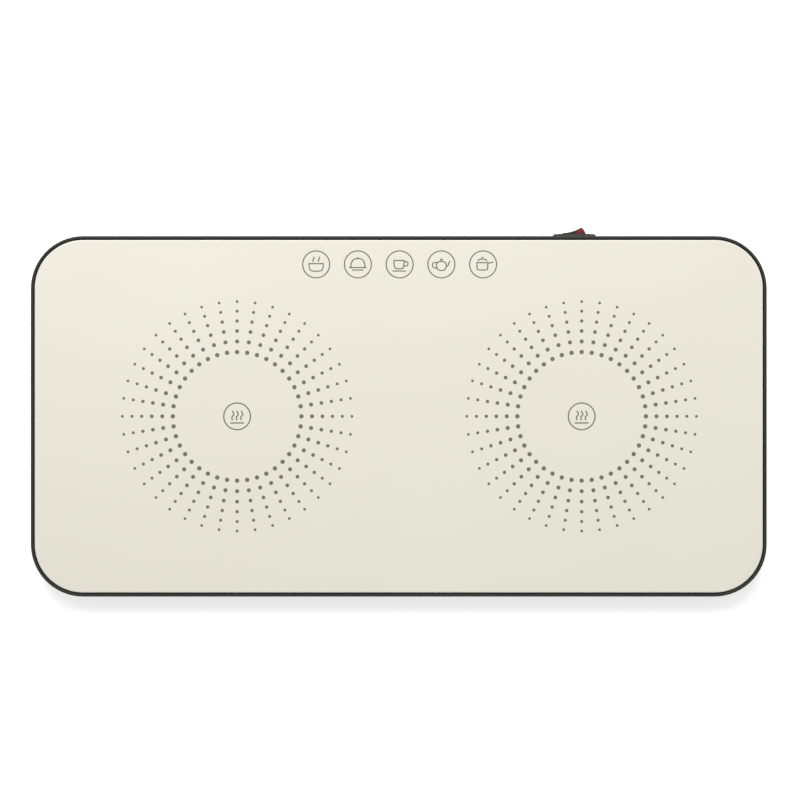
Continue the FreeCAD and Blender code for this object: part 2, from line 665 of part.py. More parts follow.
def make_fuse_clip(zone_x):
    """A strap that goes under the fuse and up to an ear on each side."""
    x = zone_x + FUSE_OFFSET_X
    y = front_strip_y()
    z = fuse_z()
    inner = FUSE_RADIUS + CLIP_CLEARANCE
    outer = inner + CLIP_THICKNESS
    start = Vector(x - CLIP_WIDTH / 2, y, z)
    end = Vector(x + CLIP_WIDTH / 2, y, z)
    x_span = about(x, CLIP_WIDTH)
    strap = fuse_all([cylinder(outer, start, end), box(x_span, about(y, 2 * outer), (z, SPREADER_BOTTOM))])
    ears = box(x_span, about(y, 2 * (outer + CLIP_EAR)), (SPREADER_BOTTOM - CLIP_THICKNESS, SPREADER_BOTTOM))
    clip = fuse_all([strap, ears])
    inside = [cylinder(inner, start, end), box(x_span, about(y, 2 * inner), (z, SPREADER_BOTTOM))]
    inside.append(box(x_span, about(y, 2 * outer), (SPREADER_BOTTOM, SPREADER_BOTTOM + outer)))
    for side in (-1, 1):
        hole = Vector(x, y + side * clip_half_span(), SPREADER_BOTTOM)
        inside.append(cylinder(STUD_RADIUS + STUD_CLEARANCE, hole, hole - Vector(0, 0, CLIP_THICKNESS)))
    return clip.cut(Part.makeCompound(inside))


def make_nut(x, y, z_top):
    """A hexagon nut with its bore round a stud."""
    corner = NUT_ACROSS_FLATS / math.sqrt(3)
    turns = [math.radians(60 * step) for step in range(7)]
    points = [Vector(x + corner * math.cos(turn), y + corner * math.sin(turn), z_top) for turn in turns]
    nut = Part.Face(Part.makePolygon(points)).extrude(Vector(0, 0, -NUT_HEIGHT))
    bore = cylinder(STUD_RADIUS + LAYER_GAP, Vector(x, y, z_top), Vector(x, y, z_top - NUT_HEIGHT))
    return nut.cut(bore)


def make_spreader_nuts():
    """The nuts on every stud of both spreaders."""
    nuts = []
    bracket_bottom = SPREADER_BOTTOM - THERMOSTAT_CAP_HEIGHT - BRACKET_THICKNESS
    for zone_x in ZONES.values():
        places = stud_places(zone_x)
        nuts += [make_nut(x, y, bracket_bottom) for x, y in places[:2]]
        nuts += [make_nut(x, y, SPREADER_BOTTOM - CLIP_THICKNESS) for x, y in places[2:]]
    return Part.makeCompound(nuts)


def crimp_z():
    """The height of a crimp's axis close under the spreader."""
    return SPREADER_BOTTOM - LAYER_GAP - CRIMP_RADIUS


def make_crimps():
    """The crimp sleeves at the fuse's leads and at the back lead of each heating wire."""
    sleeves = []
    y = front_strip_y()
    for zone_x in ZONES.values():
        right = Vector(element_crimp_x(zone_x), y, crimp_z())
        sleeves.append(cylinder(CRIMP_RADIUS, right - Vector(CRIMP_LENGTH, 0, 0), right))
        left = fuse_link_end(zone_x)
        sleeves.append(cylinder(CRIMP_RADIUS, left, left + Vector(CRIMP_LENGTH, 0, 0)))
        back = element_back_end(zone_x)
        sleeves.append(cylinder(CRIMP_RADIUS, back - Vector(0, CRIMP_LENGTH, 0), back))
    return Part.makeCompound(sleeves)


def fuse_link_end(zone_x):
    """The point where the wire from the thermostat meets the fuse's left crimp."""
    x = zone_x + FUSE_OFFSET_X - FUSE_LENGTH / 2 - FUSE_LEAD_LENGTH - CRIMP_LENGTH
    return Vector(x, front_strip_y(), crimp_z())


def element_back_end(zone_x):
    """The point where the neutral wire meets the crimp on the heating wire's back lead."""
    x = zone_x - ELEMENT_HALF_TURNS * ELEMENT_PITCH
    return Vector(x, SPREADER_DEPTH / 2 - FRONT_STRIP_INSET + CRIMP_LENGTH, crimp_z())


def make_inlet_body():
    """The inlet's nose in the wall, its flange behind the wall and the open socket."""
    nose_span = (BACK_Y - INLET_DEPTH, BACK_Y)
    nose = upright_plate(INLET_NOSE_LENGTH, INLET_NOSE_HEIGHT, INLET_NOSE_RADIUS, nose_span, INLET_X)
    flange = upright_plate(INLET_FLANGE_LENGTH, INLET_FLANGE_HEIGHT, INLET_NOSE_RADIUS,
                           (BACK_Y - WALL - INLET_FLANGE_THICKNESS, BACK_Y - WALL), INLET_X)
    body = fuse_all([nose, flange])
    socket_radius = SOCKET_HEIGHT / 2 - SOCKET_END_FLAT
    socket_span = (BACK_Y - SOCKET_DEPTH, BACK_Y)
    holes = [upright_plate(SOCKET_LENGTH, SOCKET_HEIGHT, socket_radius, socket_span, INLET_X)]
    for side in (-1, 1):
        start = Vector(INLET_X + side * PIN_SPACING / 2, BACK_Y - INLET_DEPTH, WORKS_Z)
        end = start + Vector(0, INLET_DEPTH - SOCKET_DEPTH, 0)
        holes.append(cylinder(PIN_COLLAR_RADIUS + PIN_HOLE_CLEARANCE, start, end))
    return body.cut(Part.makeCompound(holes))


def make_inlet_pin(side):
    """A round contact pin with a domed front end, a collar in the inlet's floor and a thinner tail."""
    x = INLET_X + side * PIN_SPACING / 2
    tail_end = pin_tail_end(side)
    collar_back = Vector(x, BACK_Y - INLET_DEPTH, WORKS_Z)
    collar_front = Vector(x, BACK_Y - SOCKET_DEPTH, WORKS_Z)
    dome = collar_front + Vector(0, PIN_STANDING - PIN_RADIUS, 0)
    tail = cylinder(PIN_TAIL_RADIUS, tail_end, collar_back)
    collar = cylinder(PIN_COLLAR_RADIUS, collar_back, collar_front)
    shaft = cylinder(PIN_RADIUS, collar_front, dome)
    return fuse_all([tail, collar, shaft, Part.makeSphere(PIN_RADIUS, dome)])


def pin_tail_end(side):
    """The inner end of an inlet pin."""
    return Vector(INLET_X + side * PIN_SPACING / 2, BACK_Y - INLET_DEPTH - PIN_TAIL, WORKS_Z)


def make_switch_body():
    """The switch housing: bezel, open cavity, trunnion holes, terminal slots and two latches."""
    bezel_back = BOSS_FACE_Y + BEZEL_PROUD - BEZEL_THICKNESS
    bezel_span = (bezel_back, BOSS_FACE_Y + BEZEL_PROUD)
    bezel = upright_plate(BEZEL_LENGTH, BEZEL_HEIGHT, BEZEL_RADIUS, bezel_span, SWITCH_X)
    shell = box(about(SWITCH_X, HOUSING_LENGTH), (HOUSING_END_Y, bezel_back), about(WORKS_Z, HOUSING_HEIGHT))
    latches = []
    for side in (-1, 1):
        root = SWITCH_X + side * HOUSING_LENGTH / 2
        front = BACK_Y - WALL - LATCH_CLEARANCE
        tip = root + side * LATCH_PROUD
        points = [(root, front), (tip, front), (root, front - LATCH_LENGTH), (root, front)]
        outline = Part.makePolygon([Vector(x, y, WORKS_Z - LATCH_HEIGHT / 2) for x, y in points])
        latches.append(Part.Face(outline).extrude(Vector(0, 0, LATCH_HEIGHT)))
    body = fuse_all([bezel, shell] + latches)
    half_opening = ROCKER_END_RADIUS + ROCKER_CLEARANCE
    height = about(WORKS_Z, ROCKER_WIDTH + 2 * ROCKER_CLEARANCE)
    step_y = BOSS_FACE_Y - HOUSING_STEP_DEPTH
    holes = [box(about(SWITCH_X, 2 * half_opening), (step_y, BOSS_FACE_Y + BEZEL_PROUD), height)]
    holes.append(box(about(SWITCH_X, HOUSING_LOWER_LENGTH), (HOUSING_FLOOR_Y, step_y), height))
    pivot = Vector(SWITCH_X, PIVOT_Y, WORKS_Z)
    half_pin = Vector(0, 0, HOUSING_HEIGHT / 2)
    holes.append(cylinder(TRUNNION_RADIUS + TRUNNION_CLEARANCE, pivot - half_pin, pivot + half_pin))
    for place in (-1, 0, 1):
        slot_x = about(SWITCH_X + place * TERMINAL_SPACING, TERMINAL_THICKNESS + 2 * TERMINAL_CLEARANCE)
        slot_z = about(WORKS_Z, TERMINAL_WIDTH + 2 * TERMINAL_CLEARANCE)
        holes.append(box(slot_x, (HOUSING_END_Y, HOUSING_FLOOR_Y), slot_z))
    return body.cut(Part.makeCompound(holes))


def tip_rocker_parts(shape):
    """Turns a piece drawn with the rocker level to the way it stands at rest, right end out."""
    shape.rotate(Vector(SWITCH_X, PIVOT_Y, 0), Vector(0, 0, 1), ROCKER_THROW / 2)
    return shape


def at_pivot(u, v, z=0.0):
    """A point given along the bezel and outward from the rocker's pivot."""
    return Vector(SWITCH_X + u, PIVOT_Y + v, WORKS_Z + z)


def make_rocker():
    """The rocker: hollowed face, round ends, hub with the plunger's bore, and two trunnions."""
    end_u = math.sqrt(ROCKER_END_RADIUS ** 2 - ROCKER_END_HEIGHT ** 2)
    skirt_u = math.sqrt(ROCKER_END_RADIUS ** 2 - ROCKER_SKIRT ** 2)
    low = -ROCKER_WIDTH / 2
    right_top = at_pivot(end_u, ROCKER_END_HEIGHT, low)
    left_top = at_pivot(-end_u, ROCKER_END_HEIGHT, low)
    right_low = at_pivot(skirt_u, -ROCKER_SKIRT, low)
    left_low = at_pivot(-skirt_u, -ROCKER_SKIRT, low)
    edges = [
        Part.Arc(right_top, at_pivot(0, ROCKER_END_HEIGHT - ROCKER_HOLLOW, low), left_top).toShape(),
        Part.Arc(left_top, at_pivot(-ROCKER_END_RADIUS, 0, low), left_low).toShape(),
        Part.makeLine(left_low, right_low),
        Part.Arc(right_low, at_pivot(ROCKER_END_RADIUS, 0, low), right_top).toShape(),
    ]
    rocker = Part.Face(Part.Wire(edges)).extrude(Vector(0, 0, ROCKER_WIDTH))
    face_y = PIVOT_Y + ROCKER_END_HEIGHT - ROCKER_HOLLOW
    upper = [edge for edge in rocker.Edges if edge.BoundBox.YMin > face_y - 0.01]
    rocker = rocker.makeFillet(ROCKER_EDGE_ROUND, upper)
    hub = box(about(SWITCH_X, HUB_LENGTH), (PIVOT_Y - HUB_REACH, PIVOT_Y), about(WORKS_Z, HUB_LENGTH))
    half_pin = ROCKER_WIDTH / 2 + TRUNNION_LENGTH
    trunnion = cylinder(TRUNNION_RADIUS, at_pivot(0, 0, -half_pin), at_pivot(0, 0, half_pin))
    rocker = fuse_all([rocker, hub, trunnion])
    bore = cylinder(PLUNGER_RADIUS + PLUNGER_CLEARANCE, at_pivot(0, -HUB_REACH), at_pivot(0, HUB_BORE_TOP))
    return tip_rocker_parts(rocker.cut(bore))


def make_plunger():
    """The spring-loaded plunger, stepped down to a round tip."""
    shaft = cylinder(PLUNGER_RADIUS, at_pivot(0, -PLUNGER_TOP), at_pivot(0, -PLUNGER_SHOULDER))
    stem = cylinder(PLUNGER_TIP_RADIUS, at_pivot(0, -PLUNGER_SHOULDER), at_pivot(0, -PLUNGER_REACH))
    tip = Part.makeSphere(PLUNGER_TIP_RADIUS, at_pivot(0, -PLUNGER_REACH))
    return tip_rocker_parts(fuse_all([shaft, stem, tip]))


def make_spring():
    """The coil spring between the plunger and the top of its bore."""
    length = HUB_BORE_TOP + PLUNGER_TOP - 2 * (SPRING_WIRE_RADIUS + LAYER_GAP)
    helix = Part.makeHelix(length / SPRING_TURNS, length, SPRING_RADIUS)
    profile = Part.Wire(Part.makeCircle(SPRING_WIRE_RADIUS, Vector(SPRING_RADIUS, 0, 0), Vector(0, 1, 0)))
    spring = Part.Wire(helix.Edges).makePipeShell([profile], True, True)
    spring.rotate(Vector(0, 0, 0), Vector(1, 0, 0), -90)
    spring.translate(at_pivot(0, SPRING_WIRE_RADIUS + LAYER_GAP - PLUNGER_TOP))
    return tip_rocker_parts(spring)


def make_lever():
    """The see-saw contact lever: a half-round channel over the fulcrum and two bent arms."""
    inner = FULCRUM_RADIUS + LEVER_CLEARANCE
    outer = inner + LEVER_THICKNESS
    low = WORKS_Z - LEVER_WIDTH / 2
    high = WORKS_Z + LEVER_WIDTH / 2
    pieces = [cylinder(outer, Vector(SWITCH_X, LEVER_PIVOT_Y, low), Vector(SWITCH_X, LEVER_PIVOT_Y, high))]
    for side in (-1, 1):
        arm_x = sorted([SWITCH_X + side * inner, SWITCH_X + side * LEVER_ARM])
        arm = box(arm_x, about(LEVER_PIVOT_Y, LEVER_THICKNESS), (low, high))
        arm.rotate(Vector(SWITCH_X, LEVER_PIVOT_Y, 0), Vector(0, 0, 1), side * LEVER_BEND)
        pieces.append(arm)
    lever = fuse_all(pieces)
    bore = cylinder(inner, Vector(SWITCH_X, LEVER_PIVOT_Y, low), Vector(SWITCH_X, LEVER_PIVOT_Y, high))
    lower_half = box(about(SWITCH_X, 2 * outer), (LEVER_PIVOT_Y - outer, LEVER_PIVOT_Y), (low, high))
    lever = lever.cut(Part.makeCompound([bore])).cut(lower_half)
    lever.rotate(Vector(SWITCH_X, LEVER_PIVOT_Y, 0), Vector(0, 0, 1), -LEVER_SWING)
    return lever


def make_terminal(place, top_y, width):
    """A flat terminal from its inner end to the tip of its blade."""
    x_span = about(SWITCH_X + place * TERMINAL_SPACING, TERMINAL_THICKNESS)
    blade = box(x_span, (TERMINAL_TIP_Y, HOUSING_FLOOR_Y), about(WORKS_Z, TERMINAL_WIDTH))
    post = box(x_span, (HOUSING_FLOOR_Y, top_y), about(WORKS_Z, width))
    return fuse_all([blade, post])


def make_terminal_common():
    """The middle terminal, whose round inner end is the lever's fulcrum."""
    width = LEVER_WIDTH
    terminal = make_terminal(0, LEVER_PIVOT_Y, width)
    half = Vector(0, 0, width / 2)
    pivot = Vector(SWITCH_X, LEVER_PIVOT_Y, WORKS_Z)
    return fuse_all([terminal, cylinder(FULCRUM_RADIUS, pivot - half, pivot + half)])


def make_terminal_load():
    """The left terminal, which ends just under the lever's left arm when that arm is down."""
    slope = math.radians(LEVER_BEND - LEVER_SWING)
    near = TERMINAL_SPACING - TERMINAL_THICKNESS / 2
    rise = near * math.tan(slope) - (LEVER_THICKNESS / 2 + MOVING_GAP) / math.cos(slope)
    return make_terminal(-1, LEVER_PIVOT_Y + rise, LEVER_WIDTH)


def make_terminal_lamp():
    """The right terminal, which carries the lamp."""
    return make_terminal(1, lamp_y() - LAMP_RADIUS - LAYER_GAP, LEVER_WIDTH)


def lamp_y():
    """The place of the lamp's axis behind the lever."""
    return LEVER_PIVOT_Y - LAMP_BELOW_FULCRUM


def make_lamp():
    """A small round lamp with domed ends."""
    half = LAMP_LENGTH / 2 - LAMP_RADIUS
    ends = [Vector(SWITCH_X + TERMINAL_SPACING, lamp_y(), WORKS_Z + side * half) for side in (-1, 1)]
    domes = [Part.makeSphere(LAMP_RADIUS, end) for end in ends]
    return fuse_all([cylinder(LAMP_RADIUS, ends[0], ends[1])] + domes)


def rounded_route(points):
    """Straight runs joined by the largest tangent arcs that the runs allow, and the least arc radius."""
    edges = []
    radii = []
    start = points[0]
    for before, corner, after in zip(points, points[1:], points[2:]):
        run_in = corner.sub(before)
        run_out = after.sub(corner)
        half_turn = run_in.getAngle(run_out) / 2
        reach = WIRE_ARC_SHARE * min(run_in.Length, run_out.Length)
        radius = reach / math.tan(half_turn)
        way_in = run_in / run_in.Length
        way_out = run_out / run_out.Length
        inward = way_out.sub(way_in)
        middle = corner + inward / inward.Length * (radius / math.cos(half_turn) - radius)
        entry = corner - way_in * reach
        leave = corner + way_out * reach
        edges.append(Part.makeLine(start, entry))
        edges.append(Part.Arc(entry, middle, leave).toShape())
        radii.append(radius)
        start = leave
    edges.append(Part.makeLine(start, points[-1]))
    return edges, min(radii)


def make_wire(name, points):
    """An insulated wire along its route."""
    edges, least = rounded_route(points)
    wire = tube(edges, WIRE_RADIUS, points[0], points[1].sub(points[0]))
    length = sum(edge.Length for edge in edges)
    fill = wire.Volume / (math.pi * WIRE_RADIUS ** 2 * length)
    print(name, "least radius", round(least, 1), "length", round(length, 1), "fill", round(fill, 4))
    return wire


def floor_z():
    """The height of a wire that lies on the base."""
    return BASE_TOP + FLOOR_GAP + WIRE_RADIUS


def splice_z():
    """The height of a splice that lies on the base."""
    return BASE_TOP + FLOOR_GAP + SPLICE_RADIUS


def neutral_splice_end(entry):
    """A place on the right end of the neutral splice for one of three wires."""
    angle = math.radians(90 + 120 * entry)
    y = NEUTRAL_SPLICE_Y + SPLICE_WIRE_OFFSET * math.cos(angle)
    return Vector(NEUTRAL_SPLICE_X + SPLICE_LENGTH, y, splice_z() + SPLICE_WIRE_OFFSET * math.sin(angle))


def terminal_tip(place):
    """The middle of the tip of one of the switch's blades."""
    return Vector(SWITCH_X + place * TERMINAL_SPACING, TERMINAL_TIP_Y, WORKS_Z)


def feed_wires():
    """The wires between the inlet, the switch and the two splices."""
    live = pin_tail_end(1)
    common = terminal_tip(0)
    arch = 4.0
    wires = {"wire_live_in": [
        live,
        live + Vector(0, -8, 0),
        live + Vector(10, -14, arch),
        common + Vector(-12, -12, arch),
        common + Vector(0, -8, 0),
        common,
    ]}
    neutral = pin_tail_end(-1)
    entry = neutral_splice_end(2)
    wires["wire_neutral_in"] = [
        neutral,
        neutral + Vector(0, -4, 0),
        neutral + Vector(-10, -7, -2),
        entry + Vector(24, -2, 0),
        entry + Vector(8, 0, 0),
        entry,
    ]
    lamp = terminal_tip(1)
    entry = neutral_splice_end(1)
    wires["wire_lamp_neutral"] = [
        lamp,
        lamp + Vector(0, -6, 0),
        Vector(lamp.x - 4, LAMP_LANE_Y + 4, floor_z() + 2),
        Vector(lamp.x - 20, LAMP_LANE_Y, floor_z()),
        Vector(entry.x + 34, LAMP_LANE_Y, floor_z()),
        Vector(entry.x + 20, LAMP_LANE_Y + 7, floor_z() + 4.5),
        entry + Vector(8, 0, 0),
        entry,
    ]
    load = terminal_tip(-1)
    splice = Vector(LIVE_SPLICE_X, LIVE_SPLICE_Y + SPLICE_LENGTH, splice_z())
    wires["wire_switched"] = [
        load,
        load + Vector(0, -5, 0),
        Vector(load.x - 8, SWITCHED_LANE_Y, floor_z() + 1),
        Vector(load.x - 26, SWITCHED_LANE_Y, floor_z()),
        Vector(LIVE_SPLICE_X + 26, SWITCHED_LANE_Y, floor_z()),
        Vector(LIVE_SPLICE_X, SWITCHED_LANE_Y - 26, floor_z()),
        Vector(LIVE_SPLICE_X, LIVE_SPLICE_Y + 50, floor_z()),
        splice + Vector(0, 14, 0),
        splice,
    ]
    return wires


def zone_wires():
    """The wires of the two zones: feed to the thermostat, link to the fuse, neutral to the splice."""
    wires = {}
    for name, zone_x in ZONES.items():
        side = -1 if name == "left" else 1
        start = Vector(LIVE_SPLICE_X + side * SPLICE_WIRE_OFFSET, LIVE_SPLICE_Y, splice_z())
        tab = tab_tip(zone_x, -1)
        lane_start = Vector(LIVE_SPLICE_X + side * 22, FEED_LANE_Y, floor_z())
        bend = Vector(LIVE_SPLICE_X + side * 7, FEED_LANE_Y + 9, floor_z() + 1)
        turn = [start, start + Vector(0, -10, 0), bend]
        if side < 0:
            turn += [lane_start, Vector(tab.x + 30, FEED_LANE_Y, floor_z())]
        wires["wire_live_" + name] = turn + [
            Vector(tab.x - 8 * side - 8, FEED_LANE_Y + 1, floor_z()),
            tab + Vector(0, -12, 0),
            tab,
        ]
        tab = tab_tip(zone_x, 1)
        end = fuse_link_end(zone_x)
        wires["wire_link_" + name] = [
            tab,
            tab + Vector(0, -6, 0),
            Vector(tab.x + 12, LINK_LANE_Y, floor_z() + 2),
            Vector(tab.x + 32, LINK_LANE_Y, floor_z()),
            Vector(end.x - 30, LINK_LANE_Y + 4, floor_z()),
            end + Vector(-12, 0, 0),
            end,
        ]
        start = element_back_end(zone_x)
        if side < 0:
            end = Vector(NEUTRAL_SPLICE_X, NEUTRAL_SPLICE_Y, splice_z())
            wires["wire_neutral_left"] = [
                start,
                start + Vector(0, 6, 0),
                Vector(start.x + 10, NEUTRAL_SPLICE_Y, floor_z() + 4),
                Vector(start.x + 34, NEUTRAL_SPLICE_Y + 1, floor_z()),
                Vector(end.x - 40, NEUTRAL_SPLICE_Y + 1, floor_z()),
                end + Vector(-12, 0, 0),
                end,
            ]
        else:
            end = neutral_splice_end(0)
            wires["wire_neutral_right"] = [
                start,
                start + Vector(0, 6, 0),
                Vector(start.x - 5, NEUTRAL_SPLICE_Y - 1, splice_z() + 6),
                end + Vector(10, 0, 0),
                end,
            ]
    return wires


def make_splices():
    """The two barrel splices that lie on the base."""
    neutral = Vector(NEUTRAL_SPLICE_X, NEUTRAL_SPLICE_Y, splice_z())
    live = Vector(LIVE_SPLICE_X, LIVE_SPLICE_Y, splice_z())
    return {
        "splice_neutral": cylinder(SPLICE_RADIUS, neutral, neutral + Vector(SPLICE_LENGTH, 0, 0)),
        "splice_live": cylinder(SPLICE_RADIUS, live, live + Vector(0, SPLICE_LENGTH, 0)),
    }


def make_nodes():
    """Every piece of the tray by name."""
    nodes = {
        "frame": make_frame(),
        "base_plate": make_base(),
        "glass_plate": make_glass(),
        "glass_seal": make_glass_seal(),
        "base_screws": Part.makeCompound([make_screw(x, y) for x, y, _ in screw_places()]),
        "spreader_nuts": make_spreader_nuts(),
        "crimp_sleeves": make_crimps(),
        "inlet_body": make_inlet_body(),
        "inlet_pin_live": make_inlet_pin(1),
        "inlet_pin_neutral": make_inlet_pin(-1),
        "switch_body": make_switch_body(),
        "switch_rocker": make_rocker(),
        "switch_plunger": make_plunger(),
        "switch_spring": make_spring(),
        "switch_lever": make_lever(),
        "switch_terminal_common": make_terminal_common(),
        "switch_terminal_load": make_terminal_load(),
        "switch_terminal_lamp": make_terminal_lamp(),
        "switch_lamp": make_lamp(),
    }
    for name, place in foot_places().items():
        nodes[name] = make_foot(*place)
    for side, zone_x in ZONES.items():
        nodes["heat_spreader_" + side] = make_spreader(zone_x)
        nodes["heating_wire_" + side] = make_heating_wire(zone_x)
        nodes["foil_backing_" + side] = make_pad(zone_x, (PAD_TOP, FOIL_TOP))
        nodes["insulation_pad_" + side] = make_pad(zone_x, (PAD_BOTTOM, PAD_TOP))
        nodes["thermostat_" + side] = make_thermostat(zone_x)
        nodes["thermal_fuse_" + side] = make_fuse(zone_x)
        nodes["fuse_clip_" + side] = make_fuse_clip(zone_x)
    for name, points in {**feed_wires(), **zone_wires()}.items():
        nodes[name] = make_wire(name, points)
    nodes.update(make_splices())
    return nodes


os.makedirs("parts", exist_ok=True)
for node, shape in make_nodes().items():
    shape.exportStep("parts/" + node + ".step")
    print(node, len(shape.Solids), "solids, valid", shape.isValid(), "volume", round(shape.Volume, 1))
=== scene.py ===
import json
import math

import bmesh
import bpy
from bpy.props import FloatProperty, FloatVectorProperty, IntProperty, PointerProperty
from mathutils import Matrix, Vector


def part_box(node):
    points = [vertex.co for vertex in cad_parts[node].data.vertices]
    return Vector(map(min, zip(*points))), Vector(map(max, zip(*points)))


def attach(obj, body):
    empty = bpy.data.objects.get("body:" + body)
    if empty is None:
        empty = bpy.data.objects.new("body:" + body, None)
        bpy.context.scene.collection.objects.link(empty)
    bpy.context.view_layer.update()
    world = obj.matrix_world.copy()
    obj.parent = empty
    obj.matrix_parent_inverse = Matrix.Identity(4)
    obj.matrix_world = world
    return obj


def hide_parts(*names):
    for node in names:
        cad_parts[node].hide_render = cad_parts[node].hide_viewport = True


bl_info = {
    "name": "Food warmer tray looks",
    "version": (1, 0, 0),
    "blender": (4, 5, 0),
    "location": "3D View > Sidebar > Warmer",
    "description": "Dresses the packed food warmer tray with its glass, printed marks, finishes and studio",
    "category": "Object",
}

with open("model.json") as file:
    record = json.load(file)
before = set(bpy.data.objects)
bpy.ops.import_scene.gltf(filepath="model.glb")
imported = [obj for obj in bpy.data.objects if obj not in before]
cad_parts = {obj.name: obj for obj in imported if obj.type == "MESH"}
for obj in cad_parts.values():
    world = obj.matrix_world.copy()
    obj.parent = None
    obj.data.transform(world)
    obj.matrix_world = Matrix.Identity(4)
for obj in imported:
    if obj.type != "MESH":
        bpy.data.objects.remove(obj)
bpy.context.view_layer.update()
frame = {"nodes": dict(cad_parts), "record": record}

MM = 0.001
PANEL_TAB = "Warmer"

# Middles of the two heated zones and of the row of icons
ZONE_LEFT_X = -0.1317
ZONE_RIGHT_X = 0.149
ICON_ROW_X = 0.0007
ICON_ROW_Y = 0.1238

# The rings of dots, from the inside out, the dots' own radii, and the corners of a dot and of an icon's ring
DOT_RING_RADII = (0.0524, 0.0610, 0.0695, 0.0777, 0.0857, 0.0935)
DOT_RADII = (0.00184, 0.00171, 0.00158, 0.00143, 0.00129, 0.00117)
DOT_SIDES = 16
RING_POINTS = 24

# Where along the tray the rocker's painted glow starts, is full, starts to fade and ends: its lamp's light
# painted into its colour
ROCKER_PAINTED_GLOW = (0.1430, 0.1472, 0.1499, 0.1520)

# Line drawings of the icons in millimetres about the middle of their ring: (closed, points)
BOWL = (
    (False, ((-6.2, 0.6), (6.2, 0.6))),
    (False, ((-6.0, 0.6), (-5.6, -4.6), (-2.4, -5.6), (2.4, -5.6), (5.6, -4.6), (6.0, 0.6))),
    (False, ((-2.2, 2.2), (-3.3, 3.4), (-1.1, 4.9), (-2.2, 6.2))),
    (False, ((2.2, 2.2), (1.1, 3.4), (3.3, 4.9), (2.2, 6.2))),
)
COVERED_DISH = (
    (False, ((-7.0, -2.6), (7.0, -2.6))),
    (False, ((-5.8, -2.6), (-5.8, 2.9), (0.0, 5.6), (5.8, 2.9), (5.8, -2.6))),
    (False, ((-4.6, -4.6), (4.6, -4.6))),
    (False, ((0.0, 4.2), (0.0, 5.8))),
)
CUP = (
    (False, ((-4.8, 3.2), (3.8, 3.2))),
    (False, ((-4.7, 3.2), (-4.5, -3.0), (-1.8, -3.6), (0.8, -3.6), (3.5, -3.0), (3.7, 3.2))),
    (False, ((3.6, 2.2), (7.0, 2.6), (6.6, -1.8), (3.4, -1.2))),
    (False, ((-5.8, -5.4), (5.0, -5.4))),
)
TEAPOT = (
    (True, ((4.4, -1.2), (3.6, 1.8), (0.0, 2.9), (-3.6, 1.8),
            (-4.4, -1.2), (-3.0, -4.6), (0.0, -5.2), (3.0, -4.6))),
    (False, ((4.0, -1.8), (6.0, -0.8), (5.8, 1.6), (7.4, 2.6))),
    (False, ((-3.6, 1.4), (-7.4, 2.2), (-7.0, -3.6), (-3.7, -2.8))),
    (False, ((-1.2, 4.2), (1.2, 4.2))),
    (False, ((0.0, 2.9), (0.0, 4.2))),
)
SAUCEPAN = (
    (False, ((-5.6, 1.4), (4.4, 1.4))),
    (False, ((-5.0, 1.4), (-5.0, -3.4), (-4.4, -4.6), (3.2, -4.6), (3.8, -3.4), (3.8, 1.4))),
    (False, ((4.4, 0.9), (8.4, 1.9))),
    (False, ((-4.4, 2.8), (-3.4, 4.4), (2.2, 4.4), (3.2, 2.8))),
    (False, ((-1.4, 5.6), (0.2, 5.6))),
)
ICONS = (BOWL, COVERED_DISH, CUP, TEAPOT, SAUCEPAN)

# The warming mark in the middle of a zone: three waves of warm air over a bar
WARMING_MARK = (
    (False, ((-5.6, -5.4), (5.6, -5.4))),
    (False, ((-3.6, -3.2), (-5.0, -1.0), (-2.2, 1.4), (-3.6, 3.8), (-3.9, 4.6))),
    (False, ((0.0, -3.2), (-1.4, -1.0), (1.4, 1.4), (0.0, 3.8), (-0.3, 4.6))),
    (False, ((3.6, -3.2), (2.2, -1.0), (5.0, 1.4), (3.6, 3.8), (3.3, 4.6))),
)

